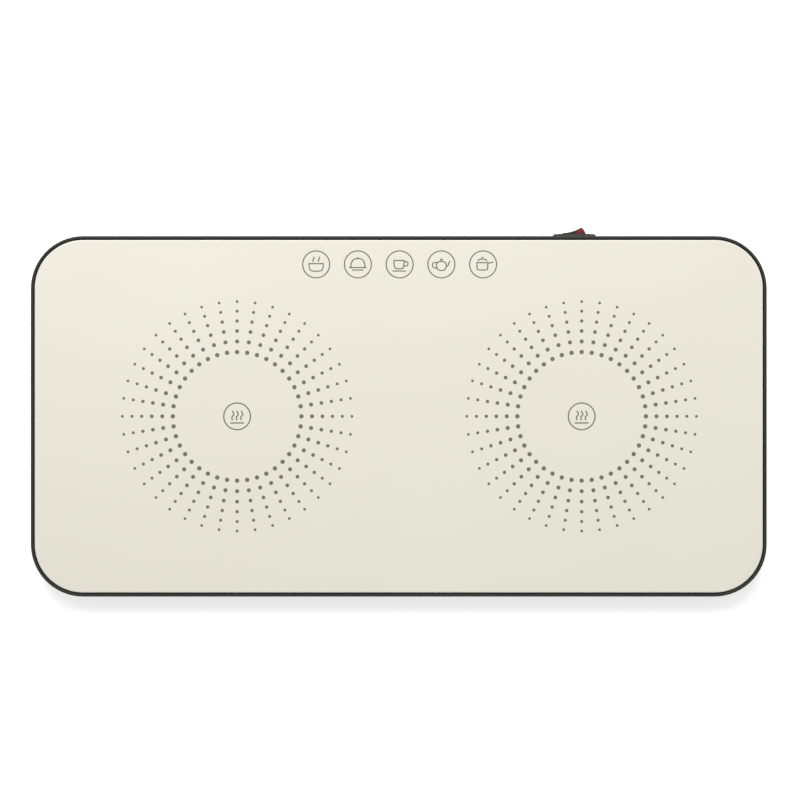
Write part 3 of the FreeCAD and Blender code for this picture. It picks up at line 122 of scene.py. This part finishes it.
# Finish of every slot: display colours 0 to 255 of its darker and lighter patches, patches per metre,
# roughness range, grain per metre with its height in metres, and what else the shader needs
FINISHES = {
    "frame_plastic": dict(low=(31, 32, 29), high=(39, 40, 36), patches=18, rough=(0.5, 0.62),
                          grain=2400, height=0.00003, specular=0.3),
    "base_plastic": dict(low=(33, 33, 33), high=(42, 42, 41), patches=24, rough=(0.5, 0.66),
                         grain=1500, height=0.00006, specular=0.4),
    "seal_silicone": dict(low=(4, 4, 4), high=(7, 7, 7), patches=60, rough=(0.55, 0.7),
                          grain=1200, height=0.00003, specular=0.03),
    "foot_rubber": dict(low=(27, 27, 27), high=(37, 37, 36), patches=160, rough=(0.74, 0.9),
                        grain=1800, height=0.00006, specular=0.25),
    "plated_steel": dict(low=(168, 168, 163), high=(198, 198, 192), patches=300, rough=(0.26, 0.42),
                         grain=900, height=0.00002, metallic=1.0, stretch=(1, 1, 0.15)),
    "spreader_aluminium": dict(low=(194, 196, 198), high=(214, 216, 218), patches=60, rough=(0.28, 0.46),
                               grain=1600, height=0.00002, metallic=1.0, stretch=(0.04, 1, 1)),
    "heater_sheath": dict(low=(204, 201, 191), high=(222, 219, 210), patches=90, rough=(0.45, 0.6),
                          grain=1300, height=0.00003, specular=0.4),
    "backing_foil": dict(low=(212, 214, 216), high=(234, 235, 236), patches=70, rough=(0.14, 0.34),
                         grain=130, height=0.0003, metallic=1.0),
    "insulation_fibre": dict(low=(212, 208, 196), high=(234, 231, 221), patches=120, rough=(0.9, 1.0),
                             grain=700, height=0.0004, specular=0.1, sheen=0.3, stretch=(0.25, 1, 1)),
    "thermostat_resin": dict(low=(30, 27, 25), high=(41, 37, 34), patches=220, rough=(0.42, 0.58),
                             grain=2000, height=0.00004, specular=0.4),
    "fuse_case": dict(low=(172, 164, 136), high=(192, 184, 156), patches=260, rough=(0.3, 0.44),
                      grain=1500, height=0.00002, specular=0.5, coat=0.4),
    "clip_steel": dict(low=(164, 165, 164), high=(192, 193, 191), patches=260, rough=(0.3, 0.44),
                       grain=1400, height=0.00002, metallic=1.0, stretch=(1, 0.1, 1)),
    "tinned_copper": dict(low=(176, 170, 160), high=(200, 194, 184), patches=300, rough=(0.3, 0.45),
                          grain=1100, height=0.00003, metallic=1.0),
    "splice_nylon": dict(low=(212, 208, 194), high=(230, 227, 214), patches=180, rough=(0.38, 0.5),
                         grain=1500, height=0.00003, specular=0.45),
    "wire_brown": dict(low=(72, 39, 21), high=(90, 50, 28), patches=150, rough=(0.4, 0.55),
                       grain=1500, height=0.00003, specular=0.4),
    "wire_blue": dict(low=(27, 64, 136), high=(38, 80, 158), patches=150, rough=(0.4, 0.55),
                      grain=1500, height=0.00003, specular=0.4),
    "wire_white": dict(low=(212, 212, 208), high=(230, 230, 226), patches=150, rough=(0.4, 0.55),
                       grain=1500, height=0.00003, specular=0.4),
    "inlet_plastic": dict(low=(15, 15, 15), high=(23, 23, 22), patches=200, rough=(0.36, 0.5),
                          grain=2200, height=0.00003, specular=0.45),
    "nickel_brass": dict(low=(192, 188, 176), high=(214, 210, 198), patches=400, rough=(0.14, 0.26),
                         grain=1500, height=0.00001, metallic=1.0, stretch=(1, 0.1, 1)),
    "switch_plastic": dict(low=(12, 12, 12), high=(19, 19, 18), patches=200, rough=(0.26, 0.4),
                           grain=2600, height=0.00002, specular=0.3),
    "plunger_plastic": dict(low=(212, 212, 206), high=(230, 230, 224), patches=300, rough=(0.22, 0.34),
                            grain=1800, height=0.00001, specular=0.5),
    "spring_steel": dict(low=(160, 160, 160), high=(190, 190, 190), patches=500, rough=(0.2, 0.34),
                         grain=1800, height=0.00001, metallic=1.0),
    "contact_brass": dict(low=(192, 150, 80), high=(216, 174, 102), patches=300, rough=(0.24, 0.38),
                          grain=1400, height=0.00002, metallic=1.0, stretch=(1, 0.12, 1)),
    "lamp_glass": dict(low=(232, 150, 96), high=(246, 176, 122), patches=200, rough=(0.04, 0.1),
                       grain=900, height=0.00001, specular=0.5, transmission=0.7),
}

# Range that a noise pattern's factor mostly keeps to, and how fine the patterns are
PATTERN_REACH = (0.32, 0.68)
PATCH_DETAIL = 5.0
GRAIN_DETAIL = 3.0

# Glass: patches per metre of its clouds and of the film on it, its roughness and how much it mirrors
GLASS_CLOUDS = 5.0
GLASS_FILM = 40.0
GLASS_FILM_DETAIL = 6.0
GLASS_ROUGHNESS = (0.17, 0.22)
GLASS_IOR = 1.5
GLASS_SPECULAR = 0.3

# Ink: specks per metre, how much lighter its thin spots are, and its roughness
INK_SPECKS = 900.0
INK_SPECK_DETAIL = 4.0
INK_THINNING = 1.12
INK_ROUGHNESS = (0.25, 0.4)

# Rocker: grain per metre with its height in metres, its roughness and how much it mirrors
ROCKER_GRAIN = 1800.0
ROCKER_RELIEF = 0.00001
ROCKER_ROUGHNESS = (0.16, 0.26)
ROCKER_SPECULAR = 0.3

# Glass top: steps round its corners and over its bevel, the share of its height above the middle where its
# upper edges lie, and how upright the normal of a flat face is
CORNER_SEGMENTS = 32
BEVEL_SEGMENTS = 6
UPPER_SHARE = 0.49
FLAT_FACE = 0.999

# Drawn lines: steps between two points and over the crown, and the spline orders of closed and open ones
LINE_STEPS = 6
CROWN_STEPS = 1
CLOSED_ORDER = 4
OPEN_ORDER = 3

# Points closer than this are one point
MERGE_DISTANCE = 1e-7

# Insulation mats: cell size, rounds of smoothing, size and depth of the felt's waves
MAT_CELL = 0.0016
MAT_SMOOTHING = 5
FELT_WAVES = 0.012
FELT_DEPTH = 0.0007

# Studio: half of the floor's width, the floor's paper and the place and size of the key lamp
FLOOR_REACH = 6.0
FLOOR_ROUGHNESS = 0.9
FLOOR_SPECULAR = 0.1
PAPER_PATCHES = 3.0
PAPER_DETAIL = 2.0
PAPER_LOW = (0.9, 0.9, 0.9)
PAPER_HIGH = (0.92, 0.92, 0.92)
WHITE = (1, 1, 1, 1)
KEY_PLACE = (-0.15, 1.45, 1.75)
KEY_AIM = (0.0, 0.0, 0.0)
KEY_SIZE = 1.7

made_finishes = {}


def display_colour(red, green, blue):
    """A display colour of 0 to 255 per channel as the linear values that shaders use."""
    channels = [value / 255 for value in (red, green, blue)]
    return tuple(c / 12.92 if c <= 0.04045 else ((c + 0.055) / 1.055) ** 2.4 for c in channels)


class GlassSettings(bpy.types.PropertyGroup):
    """Sizes and colours of the glass top."""
    corner_radius: FloatProperty(name="Corner radius", description="Radius of the glass top's corners",
                                 default=0.0394, unit="LENGTH")
    edge_inset: FloatProperty(name="Edge inset", description="How far the edge stays inside the packed plate",
                              default=0.0002, min=0, unit="LENGTH")
    bevel_width: FloatProperty(name="Bevel width", description="Width of the polished bevel seen from above",
                               default=0.0011, unit="LENGTH")
    bevel_height: FloatProperty(name="Bevel height", description="Height of the polished bevel",
                                default=0.0007, unit="LENGTH")
    cream: FloatVectorProperty(name="Cream", description="Colour of the coat under the glass",
                               default=display_colour(238, 235, 222), size=3, min=0, max=1, subtype="COLOR")
    cream_shade: FloatVectorProperty(name="Cream shade", description="Slightly deeper cream of the clouds",
                                     default=display_colour(236, 233, 219), size=3, min=0, max=1,
                                     subtype="COLOR")


class PrintSettings(bpy.types.PropertyGroup):
    """Sizes and colour of the marks printed on the glass."""
    ink: FloatVectorProperty(name="Ink", description="Colour of the printed marks",
                             default=display_colour(108, 106, 94), size=3, min=0, max=1, subtype="COLOR")
    ink_height: FloatProperty(name="Ink height", description="How far the ink stands on the glass",
                              default=0.00004, unit="LENGTH")
    rays: IntProperty(name="Rays", description="Number of rays of dots round a zone", default=40, min=3)
    ring_radius: FloatProperty(name="Icon ring", description="Radius of the ring round an icon",
                               default=0.0111, unit="LENGTH")
    icon_spacing: FloatProperty(name="Icon spacing", description="Distance from one icon to the next",
                                default=0.034, unit="LENGTH")
    icon_line: FloatProperty(name="Icon line", description="Width of the icons' lines",
                             default=0.00095, unit="LENGTH")
    mark_radius: FloatProperty(name="Warming mark", description="Radius of the ring in the middle of a zone",
                               default=0.011, unit="LENGTH")
    mark_line: FloatProperty(name="Warming mark line", description="Width of the warming mark's lines",
                             default=0.001, unit="LENGTH")


class SwitchSettings(bpy.types.PropertyGroup):
    """Colours of the rocker switch, with the glow of its lamp painted in."""
    # Painted glow: the light of the switch's lamp through the rocker, put into its colour
    rocker_painted_glow: FloatVectorProperty(name="Rocker glow", description="Colour where the lamp shines through",
                                    default=display_colour(118, 34, 32), size=3, min=0, max=1,
                                    subtype="COLOR")
    rocker_dark: FloatVectorProperty(name="Rocker dark", description="Colour where it hides the lamp",
                                     default=display_colour(34, 9, 8), size=3, min=0, max=1,
                                     subtype="COLOR")


class StageSettings(bpy.types.PropertyGroup):
    """The studio: camera, lamps and floor."""
    camera_x: FloatProperty(name="Camera X", description="Place of the camera over the tray, to the right",
                            default=0.001, unit="LENGTH")
    camera_y: FloatProperty(name="Camera Y", description="Place of the camera over the tray, to the back",
                            default=0.0133, unit="LENGTH")
    camera_distance: FloatProperty(name="Camera distance", description="Distance of the camera from the rim",
                                   default=2.0, unit="LENGTH")
    view_width: FloatProperty(name="View width", description="Width that the camera sees at the rim",
                              default=0.6519, unit="LENGTH")
    ambient: FloatProperty(name="Ambient", description="Strength of the even light from all round",
                           default=0.335, min=0)
    key_power: FloatProperty(name="Key lamp", description="Power of the soft lamp above the back, in watts",
                             default=49.0, min=0)
    floor_lift: FloatProperty(name="Floor lift", description="Light added to the floor as the camera sees it",
                              default=0.6, min=0)


def pattern(tree, per_metre, detail, stretch=(1, 1, 1)):
    """A noise pattern on the piece's own coordinates: its factor output."""
    place = tree.nodes.new("ShaderNodeTexCoord")
    mapping = tree.nodes.new("ShaderNodeMapping")
    mapping.inputs["Scale"].default_value = stretch
    noise = tree.nodes.new("ShaderNodeTexNoise")
    noise.inputs["Scale"].default_value = per_metre
    noise.inputs["Detail"].default_value = detail
    tree.links.new(place.outputs["Object"], mapping.inputs["Vector"])
    tree.links.new(mapping.outputs["Vector"], noise.inputs["Vector"])
    return noise.outputs["Fac"]


def between_colours(tree, factor, low, high):
    """The colour between two for a pattern's factor, spread over its usual range."""
    ramp = tree.nodes.new("ShaderNodeValToRGB")
    for stop, position, colour in zip(ramp.color_ramp.elements, PATTERN_REACH, (low, high)):
        stop.position = position
        stop.color = (*colour, 1)
    tree.links.new(factor, ramp.inputs["Fac"])
    return ramp.outputs["Color"]


def between_values(tree, factor, low, high, reach=PATTERN_REACH):
    """The number between two for a factor that goes over a reach, a pattern's own unless another is given."""
    spread = tree.nodes.new("ShaderNodeMapRange")
    spread.inputs["From Min"].default_value = reach[0]
    spread.inputs["From Max"].default_value = reach[1]
    spread.inputs["To Min"].default_value = low
    spread.inputs["To Max"].default_value = high
    tree.links.new(factor, spread.inputs["Value"])
    return spread.outputs["Result"]


def raised_grain(tree, factor, height, shader):
    """Fine relief of a given height on the shader's normal."""
    bump = tree.nodes.new("ShaderNodeBump")
    bump.inputs["Strength"].default_value = 1.0
    bump.inputs["Distance"].default_value = height
    tree.links.new(factor, bump.inputs["Height"])
    tree.links.new(bump.outputs["Normal"], shader.inputs["Normal"])


def empty_finish(name):
    """A new node material: the material, its tree and its shader."""
    finish = bpy.data.materials.new(name + "_finish")
    finish.use_nodes = True
    return finish, finish.node_tree, finish.node_tree.nodes["Principled BSDF"]


def slot_finish(slot):
    """The finish of a material slot, made once from its line in the table."""
    if slot in made_finishes:
        return made_finishes[slot]
    look = FINISHES[slot]
    finish, tree, shader = empty_finish(slot)
    shader.inputs["Metallic"].default_value = look.get("metallic", 0.0)
    shader.inputs["Specular IOR Level"].default_value = look.get("specular", 0.5)
    shader.inputs["Coat Weight"].default_value = look.get("coat", 0.0)
    shader.inputs["Sheen Weight"].default_value = look.get("sheen", 0.0)
    shader.inputs["Transmission Weight"].default_value = look.get("transmission", 0.0)
    stretch = look.get("stretch", (1, 1, 1))
    patches = pattern(tree, look["patches"], PATCH_DETAIL)
    low = display_colour(*look["low"])
    high = display_colour(*look["high"])
    tree.links.new(between_colours(tree, patches, low, high), shader.inputs["Base Color"])
    grain = pattern(tree, look["grain"], GRAIN_DETAIL, stretch)
    tree.links.new(between_values(tree, grain, *look["rough"]), shader.inputs["Roughness"])
    raised_grain(tree, grain, look["height"], shader)
    made_finishes[slot] = finish
    return finish


def glass_finish(settings):
    """Cream coated glass: an even gloss over a coat that clouds very slightly."""
    finish, tree, shader = empty_finish("top_glass")
    shader.inputs["IOR"].default_value = GLASS_IOR
    shader.inputs["Specular IOR Level"].default_value = GLASS_SPECULAR
    clouds = pattern(tree, GLASS_CLOUDS, GRAIN_DETAIL)
    colour = between_colours(tree, clouds, tuple(settings.cream_shade), tuple(settings.cream))
    tree.links.new(colour, shader.inputs["Base Color"])
    film = pattern(tree, GLASS_FILM, GLASS_FILM_DETAIL)
    tree.links.new(between_values(tree, film, *GLASS_ROUGHNESS), shader.inputs["Roughness"])
    return finish


def ink_finish(settings):
    """Fired enamel ink, a little uneven, with a soft gloss."""
    finish, tree, shader = empty_finish("enamel_ink")
    ink = tuple(settings.ink)
    thin = tuple(min(1.0, value * INK_THINNING) for value in ink)
    specks = pattern(tree, INK_SPECKS, INK_SPECK_DETAIL)
    tree.links.new(between_colours(tree, specks, ink, thin), shader.inputs["Base Color"])
    tree.links.new(between_values(tree, specks, *INK_ROUGHNESS), shader.inputs["Roughness"])
    return finish


def rocker_finish(settings):
    """Dark red translucent plastic with the glow of its lamp painted into its colour as a red band under its
    raised end.
    """
    finish, tree, shader = empty_finish("rocker_plastic")
    place = tree.nodes.new("ShaderNodeTexCoord")
    split = tree.nodes.new("ShaderNodeSeparateXYZ")
    start, full, fade, end = ROCKER_PAINTED_GLOW
    along = tree.nodes.new("ShaderNodeMapRange")
    along.inputs["From Min"].default_value = start
    along.inputs["From Max"].default_value = end
    ramp = tree.nodes.new("ShaderNodeValToRGB")
    ramp.color_ramp.interpolation = "EASE"
    stops = ramp.color_ramp.elements
    stops.new((full - start) / (end - start))
    stops.new((fade - start) / (end - start))
    # A red band of painted glow, the light of the switch's lamp painted into the base colour, with the darker
    # colour on both sides
    dark, red = settings.rocker_dark, settings.rocker_painted_glow
    for stop, colour in zip(stops, (dark, red, red, dark)):
        stop.color = (*colour, 1)
    tree.links.new(place.outputs["Object"], split.inputs["Vector"])
    tree.links.new(split.outputs["X"], along.inputs["Value"])
    tree.links.new(along.outputs["Result"], ramp.inputs["Fac"])
    tree.links.new(ramp.outputs["Color"], shader.inputs["Base Color"])
    shader.inputs["Specular IOR Level"].default_value = ROCKER_SPECULAR
    grain = pattern(tree, ROCKER_GRAIN, GRAIN_DETAIL)
    tree.links.new(between_values(tree, grain, *ROCKER_ROUGHNESS), shader.inputs["Roughness"])
    raised_grain(tree, grain, ROCKER_RELIEF, shader)
    return finish


def finished_piece(name, mesh, finish, body="tray"):
    """Turns a bmesh into a piece of the tray with its finish, slot and body."""
    bmesh.ops.remove_doubles(mesh, verts=mesh.verts, dist=MERGE_DISTANCE)
    bmesh.ops.recalc_face_normals(mesh, faces=mesh.faces)
    data = bpy.data.meshes.new(name)
    mesh.to_mesh(data)
    mesh.free()
    piece = bpy.data.objects.new(name, data)
    bpy.context.scene.collection.objects.link(piece)
    data.materials.append(finish)
    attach(piece, body)
    return piece


def rounded_slab(low, high, corner_radius, bevel_width, bevel_height):
    """A slab with round corners and a low rounded bevel along its upper edge, as a bmesh."""
    stretch = bevel_width / bevel_height
    size = high - low
    tall = size.z * stretch
    mesh = bmesh.new()
    bmesh.ops.create_cube(mesh, size=1.0)
    bmesh.ops.scale(mesh, vec=(size.x, size.y, tall), verts=mesh.verts)
    upright = [edge for edge in mesh.edges if abs(edge.verts[0].co.z - edge.verts[1].co.z) > tall / 2]
    bmesh.ops.bevel(mesh, geom=upright, offset=corner_radius, affect="EDGES", segments=CORNER_SEGMENTS,
                    profile=0.5, material=-1)
    upper = [edge for edge in mesh.edges if min(vert.co.z for vert in edge.verts) > tall * UPPER_SHARE]
    bmesh.ops.bevel(mesh, geom=upper, offset=bevel_width, affect="EDGES", segments=BEVEL_SEGMENTS,
                    profile=0.5, material=-1)
    bmesh.ops.scale(mesh, vec=(1, 1, 1 / stretch), verts=mesh.verts)
    bmesh.ops.translate(mesh, vec=(low + high) / 2, verts=mesh.verts)
    for face in mesh.faces:
        face.smooth = abs(face.normal.z) < FLAT_FACE
    return mesh


def add_disc(mesh, x, y, z_low, radius, height, sides):
    """Adds one low round disc of ink."""
    middle = Matrix.Translation((x, y, z_low + height / 2))
    bmesh.ops.create_cone(mesh, cap_ends=True, cap_tris=False, segments=sides, radius1=radius,
                          radius2=radius - height, depth=height, matrix=middle)


def ring_points(radius):
    """A closed stroke of even points round a ring, in millimetres."""
    turns = [math.radians(360 / RING_POINTS * step) for step in range(RING_POINTS)]
    return (True, tuple((radius * math.cos(turn), radius * math.sin(turn)) for turn in turns))


def drawn_lines(mesh, strokes, x, y, z, width, height):
    """Adds flat crowned lines along smooth strokes that are given in millimetres about a middle."""
    curve = bpy.data.curves.new("strokes", "CURVE")
    curve.dimensions = "3D"
    curve.bevel_depth = width / 2
    curve.bevel_resolution = CROWN_STEPS
    curve.resolution_u = LINE_STEPS
    curve.use_fill_caps = True
    for closed, points in strokes:
        spline = curve.splines.new("NURBS")
        spline.points.add(len(points) - 1)
        for point, (across, up) in zip(spline.points, points):
            point.co = (across * MM, up * MM, 0, 1)
        spline.use_cyclic_u = closed
        spline.use_endpoint_u = not closed
        spline.order_u = CLOSED_ORDER if closed else OPEN_ORDER
    drawing = bpy.data.objects.new("strokes", curve)
    flat = bpy.data.meshes.new_from_object(drawing)
    flatten = Matrix.Diagonal((1, 1, height / (width / 2), 1))
    flat.transform(Matrix.Translation((x, y, z)) @ flatten)
    mesh.from_mesh(flat)
    bpy.data.objects.remove(drawing)
    bpy.data.curves.remove(curve)
    bpy.data.meshes.remove(flat)


def glass_level(settings):
    """The height of the glass top's upper face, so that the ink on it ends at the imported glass's height."""
    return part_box("glass_plate")[1].z - settings.ink_height


class WARMER_OT_glass_top(bpy.types.Operator):
    """Makes the cream glass top with its polished bevel"""
    bl_idname = "warmer.glass_top"
    bl_label = "Glass top"

    def execute(self, context):
        settings = context.scene.warmer_glass
        low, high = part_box("glass_plate")
        inset = Vector((settings.edge_inset, settings.edge_inset, 0))
        low = low + inset
        high = high - inset
        high.z = glass_level(context.scene.warmer_print)
        mesh = rounded_slab(low, high, settings.corner_radius, settings.bevel_width, settings.bevel_height)
        piece = finished_piece("glass_top", mesh, glass_finish(settings))
        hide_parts("glass_plate")
        return {"FINISHED"}


class WARMER_OT_heat_dots(bpy.types.Operator):
    """Prints the rays of dots round the two heated zones"""
    bl_idname = "warmer.heat_dots"
    bl_label = "Rays of dots"

    def execute(self, context):
        settings = context.scene.warmer_print
        finish = ink_finish(settings)
        for side, zone_x in (("left", ZONE_LEFT_X), ("right", ZONE_RIGHT_X)):
            mesh = bmesh.new()
            for ray in range(settings.rays):
                turn = 2 * math.pi * ray / settings.rays
                for ring, radius in zip(DOT_RING_RADII, DOT_RADII):
                    x = zone_x + ring * math.cos(turn)
                    y = ring * math.sin(turn)
                    add_disc(mesh, x, y, glass_level(settings), radius, settings.ink_height, DOT_SIDES)
            finished_piece("heat_dots_" + side, mesh, finish)
        return {"FINISHED"}


class WARMER_OT_warming_marks(bpy.types.Operator):
    """Prints the ring with three waves of warm air in the middle of each zone"""
    bl_idname = "warmer.warming_marks"
    bl_label = "Warming marks"

    def execute(self, context):
        settings = context.scene.warmer_print
        finish = ink_finish(settings)
        strokes = (ring_points(settings.mark_radius / MM),) + WARMING_MARK
        for side, zone_x in (("left", ZONE_LEFT_X), ("right", ZONE_RIGHT_X)):
            mesh = bmesh.new()
            level = glass_level(settings)
            drawn_lines(mesh, strokes, zone_x, 0.0, level, settings.mark_line, settings.ink_height)
            finished_piece("warming_mark_" + side, mesh, finish)
        return {"FINISHED"}


class WARMER_OT_use_icons(bpy.types.Operator):
    """Prints the row of ringed icons along the back of the glass"""
    bl_idname = "warmer.use_icons"
    bl_label = "Row of icons"

    def execute(self, context):
        settings = context.scene.warmer_print
        finish = ink_finish(settings)
        names = ("bowl", "covered_dish", "cup", "teapot", "saucepan")
        for place, (name, icon) in enumerate(zip(names, ICONS)):
            x = ICON_ROW_X + (place - (len(ICONS) - 1) / 2) * settings.icon_spacing
            strokes = (ring_points(settings.ring_radius / MM),) + icon
            mesh = bmesh.new()
            level = glass_level(settings)
            drawn_lines(mesh, strokes, x, ICON_ROW_Y, level, settings.icon_line, settings.ink_height)
            finished_piece("icon_" + name, mesh, finish)
        return {"FINISHED"}


class WARMER_OT_insulation_mats(bpy.types.Operator):
    """Makes the soft fibre mats that fill the place of the two insulation pads"""
    bl_idname = "warmer.insulation_mats"
    bl_label = "Insulation mats"

    def execute(self, context):
        felt = bpy.data.textures.new("felt", "CLOUDS")
        felt.noise_scale = FELT_WAVES
        for side in ("left", "right"):
            node = "insulation_pad_" + side
            mesh = bmesh.new()
            mesh.from_mesh(frame["nodes"][node].data)
            fibre = slot_finish("insulation_fibre")
            mat = finished_piece("insulation_mat_" + side, mesh, fibre)
            remesh = mat.modifiers.new("Fibre", "REMESH")
            remesh.mode = "VOXEL"
            remesh.voxel_size = MAT_CELL
            remesh.use_smooth_shade = True
            soften = mat.modifiers.new("Soften", "SMOOTH")
            soften.iterations = MAT_SMOOTHING
            sink = mat.modifiers.new("Felt", "DISPLACE")
            sink.texture = felt
            sink.texture_coords = "LOCAL"
            sink.mid_level = 1.0
            sink.strength = FELT_DEPTH
            shaped = mat.evaluated_get(context.evaluated_depsgraph_get())
            mat.data = bpy.data.meshes.new_from_object(shaped)
            mat.modifiers.clear()
            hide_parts(node)
        return {"FINISHED"}


class WARMER_OT_finishes(bpy.types.Operator):
    """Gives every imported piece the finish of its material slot"""
    bl_idname = "warmer.finishes"
    bl_label = "Finishes"

    def execute(self, context):
        made_finishes["rocker_plastic"] = rocker_finish(context.scene.warmer_switch)
        made_finishes["top_glass"] = glass_finish(context.scene.warmer_glass)
        for subpart in frame["record"]["subparts"]:
            piece = frame["nodes"][subpart["node"]]
            for slot in piece.material_slots:
                slot.material = slot_finish(subpart["material_slot"])
        return {"FINISHED"}


def larger_value(tree, one, other):
    """The larger of two numbers."""
    larger = tree.nodes.new("ShaderNodeMath")
    larger.operation = "MAXIMUM"
    tree.links.new(one, larger.inputs[0])
    tree.links.new(other, larger.inputs[1])
    return larger.outputs["Value"]


def seen_strength(tree, low, high):
    """High for rays from the camera, from a gloss or through a clear piece, and low for all others."""
    rays = tree.nodes.new("ShaderNodeLightPath")
    mirrored = larger_value(tree, rays.outputs["Is Camera Ray"], rays.outputs["Is Glossy Ray"])
    seen = larger_value(tree, mirrored, rays.outputs["Is Transmission Ray"])
    return between_values(tree, seen, low, high, reach=(0.0, 1.0))


def make_floor(settings):
    """The plain pale floor, which keeps the tray's shadow."""
    mesh = bmesh.new()
    bmesh.ops.create_grid(mesh, x_segments=1, y_segments=1, size=FLOOR_REACH)
    data = bpy.data.meshes.new("studio_floor")
    mesh.to_mesh(data)
    mesh.free()
    floor = bpy.data.objects.new("studio_floor", data)
    bpy.context.scene.collection.objects.link(floor)
    finish, tree, shader = empty_finish("studio_floor")
    shader.inputs["Roughness"].default_value = FLOOR_ROUGHNESS
    shader.inputs["Specular IOR Level"].default_value = FLOOR_SPECULAR
    shader.inputs["Emission Color"].default_value = WHITE
    paper = pattern(tree, PAPER_PATCHES, PAPER_DETAIL)
    tree.links.new(between_colours(tree, paper, PAPER_LOW, PAPER_HIGH), shader.inputs["Base Color"])
    lift = seen_strength(tree, 0.0, settings.floor_lift)
    tree.links.new(lift, shader.inputs["Emission Strength"])
    data.materials.append(finish)


def make_world(settings):
    """Even light from all round, seen as white by the camera and in gloss."""
    world = bpy.data.worlds.new("studio")
    world.use_nodes = True
    tree = world.node_tree
    background = tree.nodes["Background"]
    background.inputs["Color"].default_value = WHITE
    strength = seen_strength(tree, settings.ambient, 1.0)
    tree.links.new(strength, background.inputs["Strength"])
    bpy.context.scene.world = world


def add_lamp(name, place, aim, size, power):
    """A square soft lamp at a place, pointed at an aim."""
    lamp = bpy.data.lights.new(name, "AREA")
    lamp.shape = "SQUARE"
    lamp.size = size
    lamp.energy = power
    holder = bpy.data.objects.new(name, lamp)
    holder.location = place
    holder.rotation_euler = (Vector(aim) - Vector(place)).to_track_quat("-Z", "Y").to_euler()
    bpy.context.scene.collection.objects.link(holder)


class WARMER_OT_stage(bpy.types.Operator):
    """Sets up the floor, the soft light and the camera straight above the tray"""
    bl_idname = "warmer.stage"
    bl_label = "Studio"

    def execute(self, context):
        settings = context.scene.warmer_stage
        make_world(settings)
        make_floor(settings)
        add_lamp("key_lamp", KEY_PLACE, KEY_AIM, KEY_SIZE, settings.key_power)
        camera = bpy.data.cameras.new("camera_above")
        camera.lens = camera.sensor_width * settings.camera_distance / settings.view_width
        holder = bpy.data.objects.new("camera_above", camera)
        rim_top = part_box("frame")[1].z
        holder.location = (settings.camera_x, settings.camera_y, rim_top + settings.camera_distance)
        context.scene.collection.objects.link(holder)
        context.scene.camera = holder
        context.scene.view_settings.view_transform = "Standard"
        return {"FINISHED"}


OPERATORS = (
    WARMER_OT_glass_top,
    WARMER_OT_heat_dots,
    WARMER_OT_warming_marks,
    WARMER_OT_use_icons,
    WARMER_OT_insulation_mats,
    WARMER_OT_finishes,
    WARMER_OT_stage,
)


class WARMER_PT_panel(bpy.types.Panel):
    """Lists the steps that dress the food warmer tray"""
    bl_idname = "WARMER_PT_panel"
    bl_label = "Food warmer tray"
    bl_space_type = "VIEW_3D"
    bl_region_type = "UI"
    bl_category = PANEL_TAB

    def draw(self, context):
        for operator in OPERATORS:
            self.layout.operator(operator.bl_idname)


SETTINGS = {
    "warmer_glass": GlassSettings,
    "warmer_print": PrintSettings,
    "warmer_switch": SwitchSettings,
    "warmer_stage": StageSettings,
}


def register():
    """Makes the settings, the operators and the panel known to Blender."""
    for name, group in SETTINGS.items():
        bpy.utils.register_class(group)
        setattr(bpy.types.Scene, name, PointerProperty(type=group))
    for operator in OPERATORS:
        bpy.utils.register_class(operator)
    bpy.utils.register_class(WARMER_PT_panel)


def unregister():
    """Takes them out again."""
    bpy.utils.unregister_class(WARMER_PT_panel)
    for operator in reversed(OPERATORS):
        bpy.utils.unregister_class(operator)
    for name, group in SETTINGS.items():
        delattr(bpy.types.Scene, name)
        bpy.utils.unregister_class(group)


def main():
    """Runs every step in order."""
    register()
    bpy.ops.warmer.stage()
    bpy.ops.warmer.glass_top()
    bpy.ops.warmer.heat_dots()
    bpy.ops.warmer.warming_marks()
    bpy.ops.warmer.use_icons()
    bpy.ops.warmer.insulation_mats()
    bpy.ops.warmer.finishes()


if __name__ == "__main__":
    main()
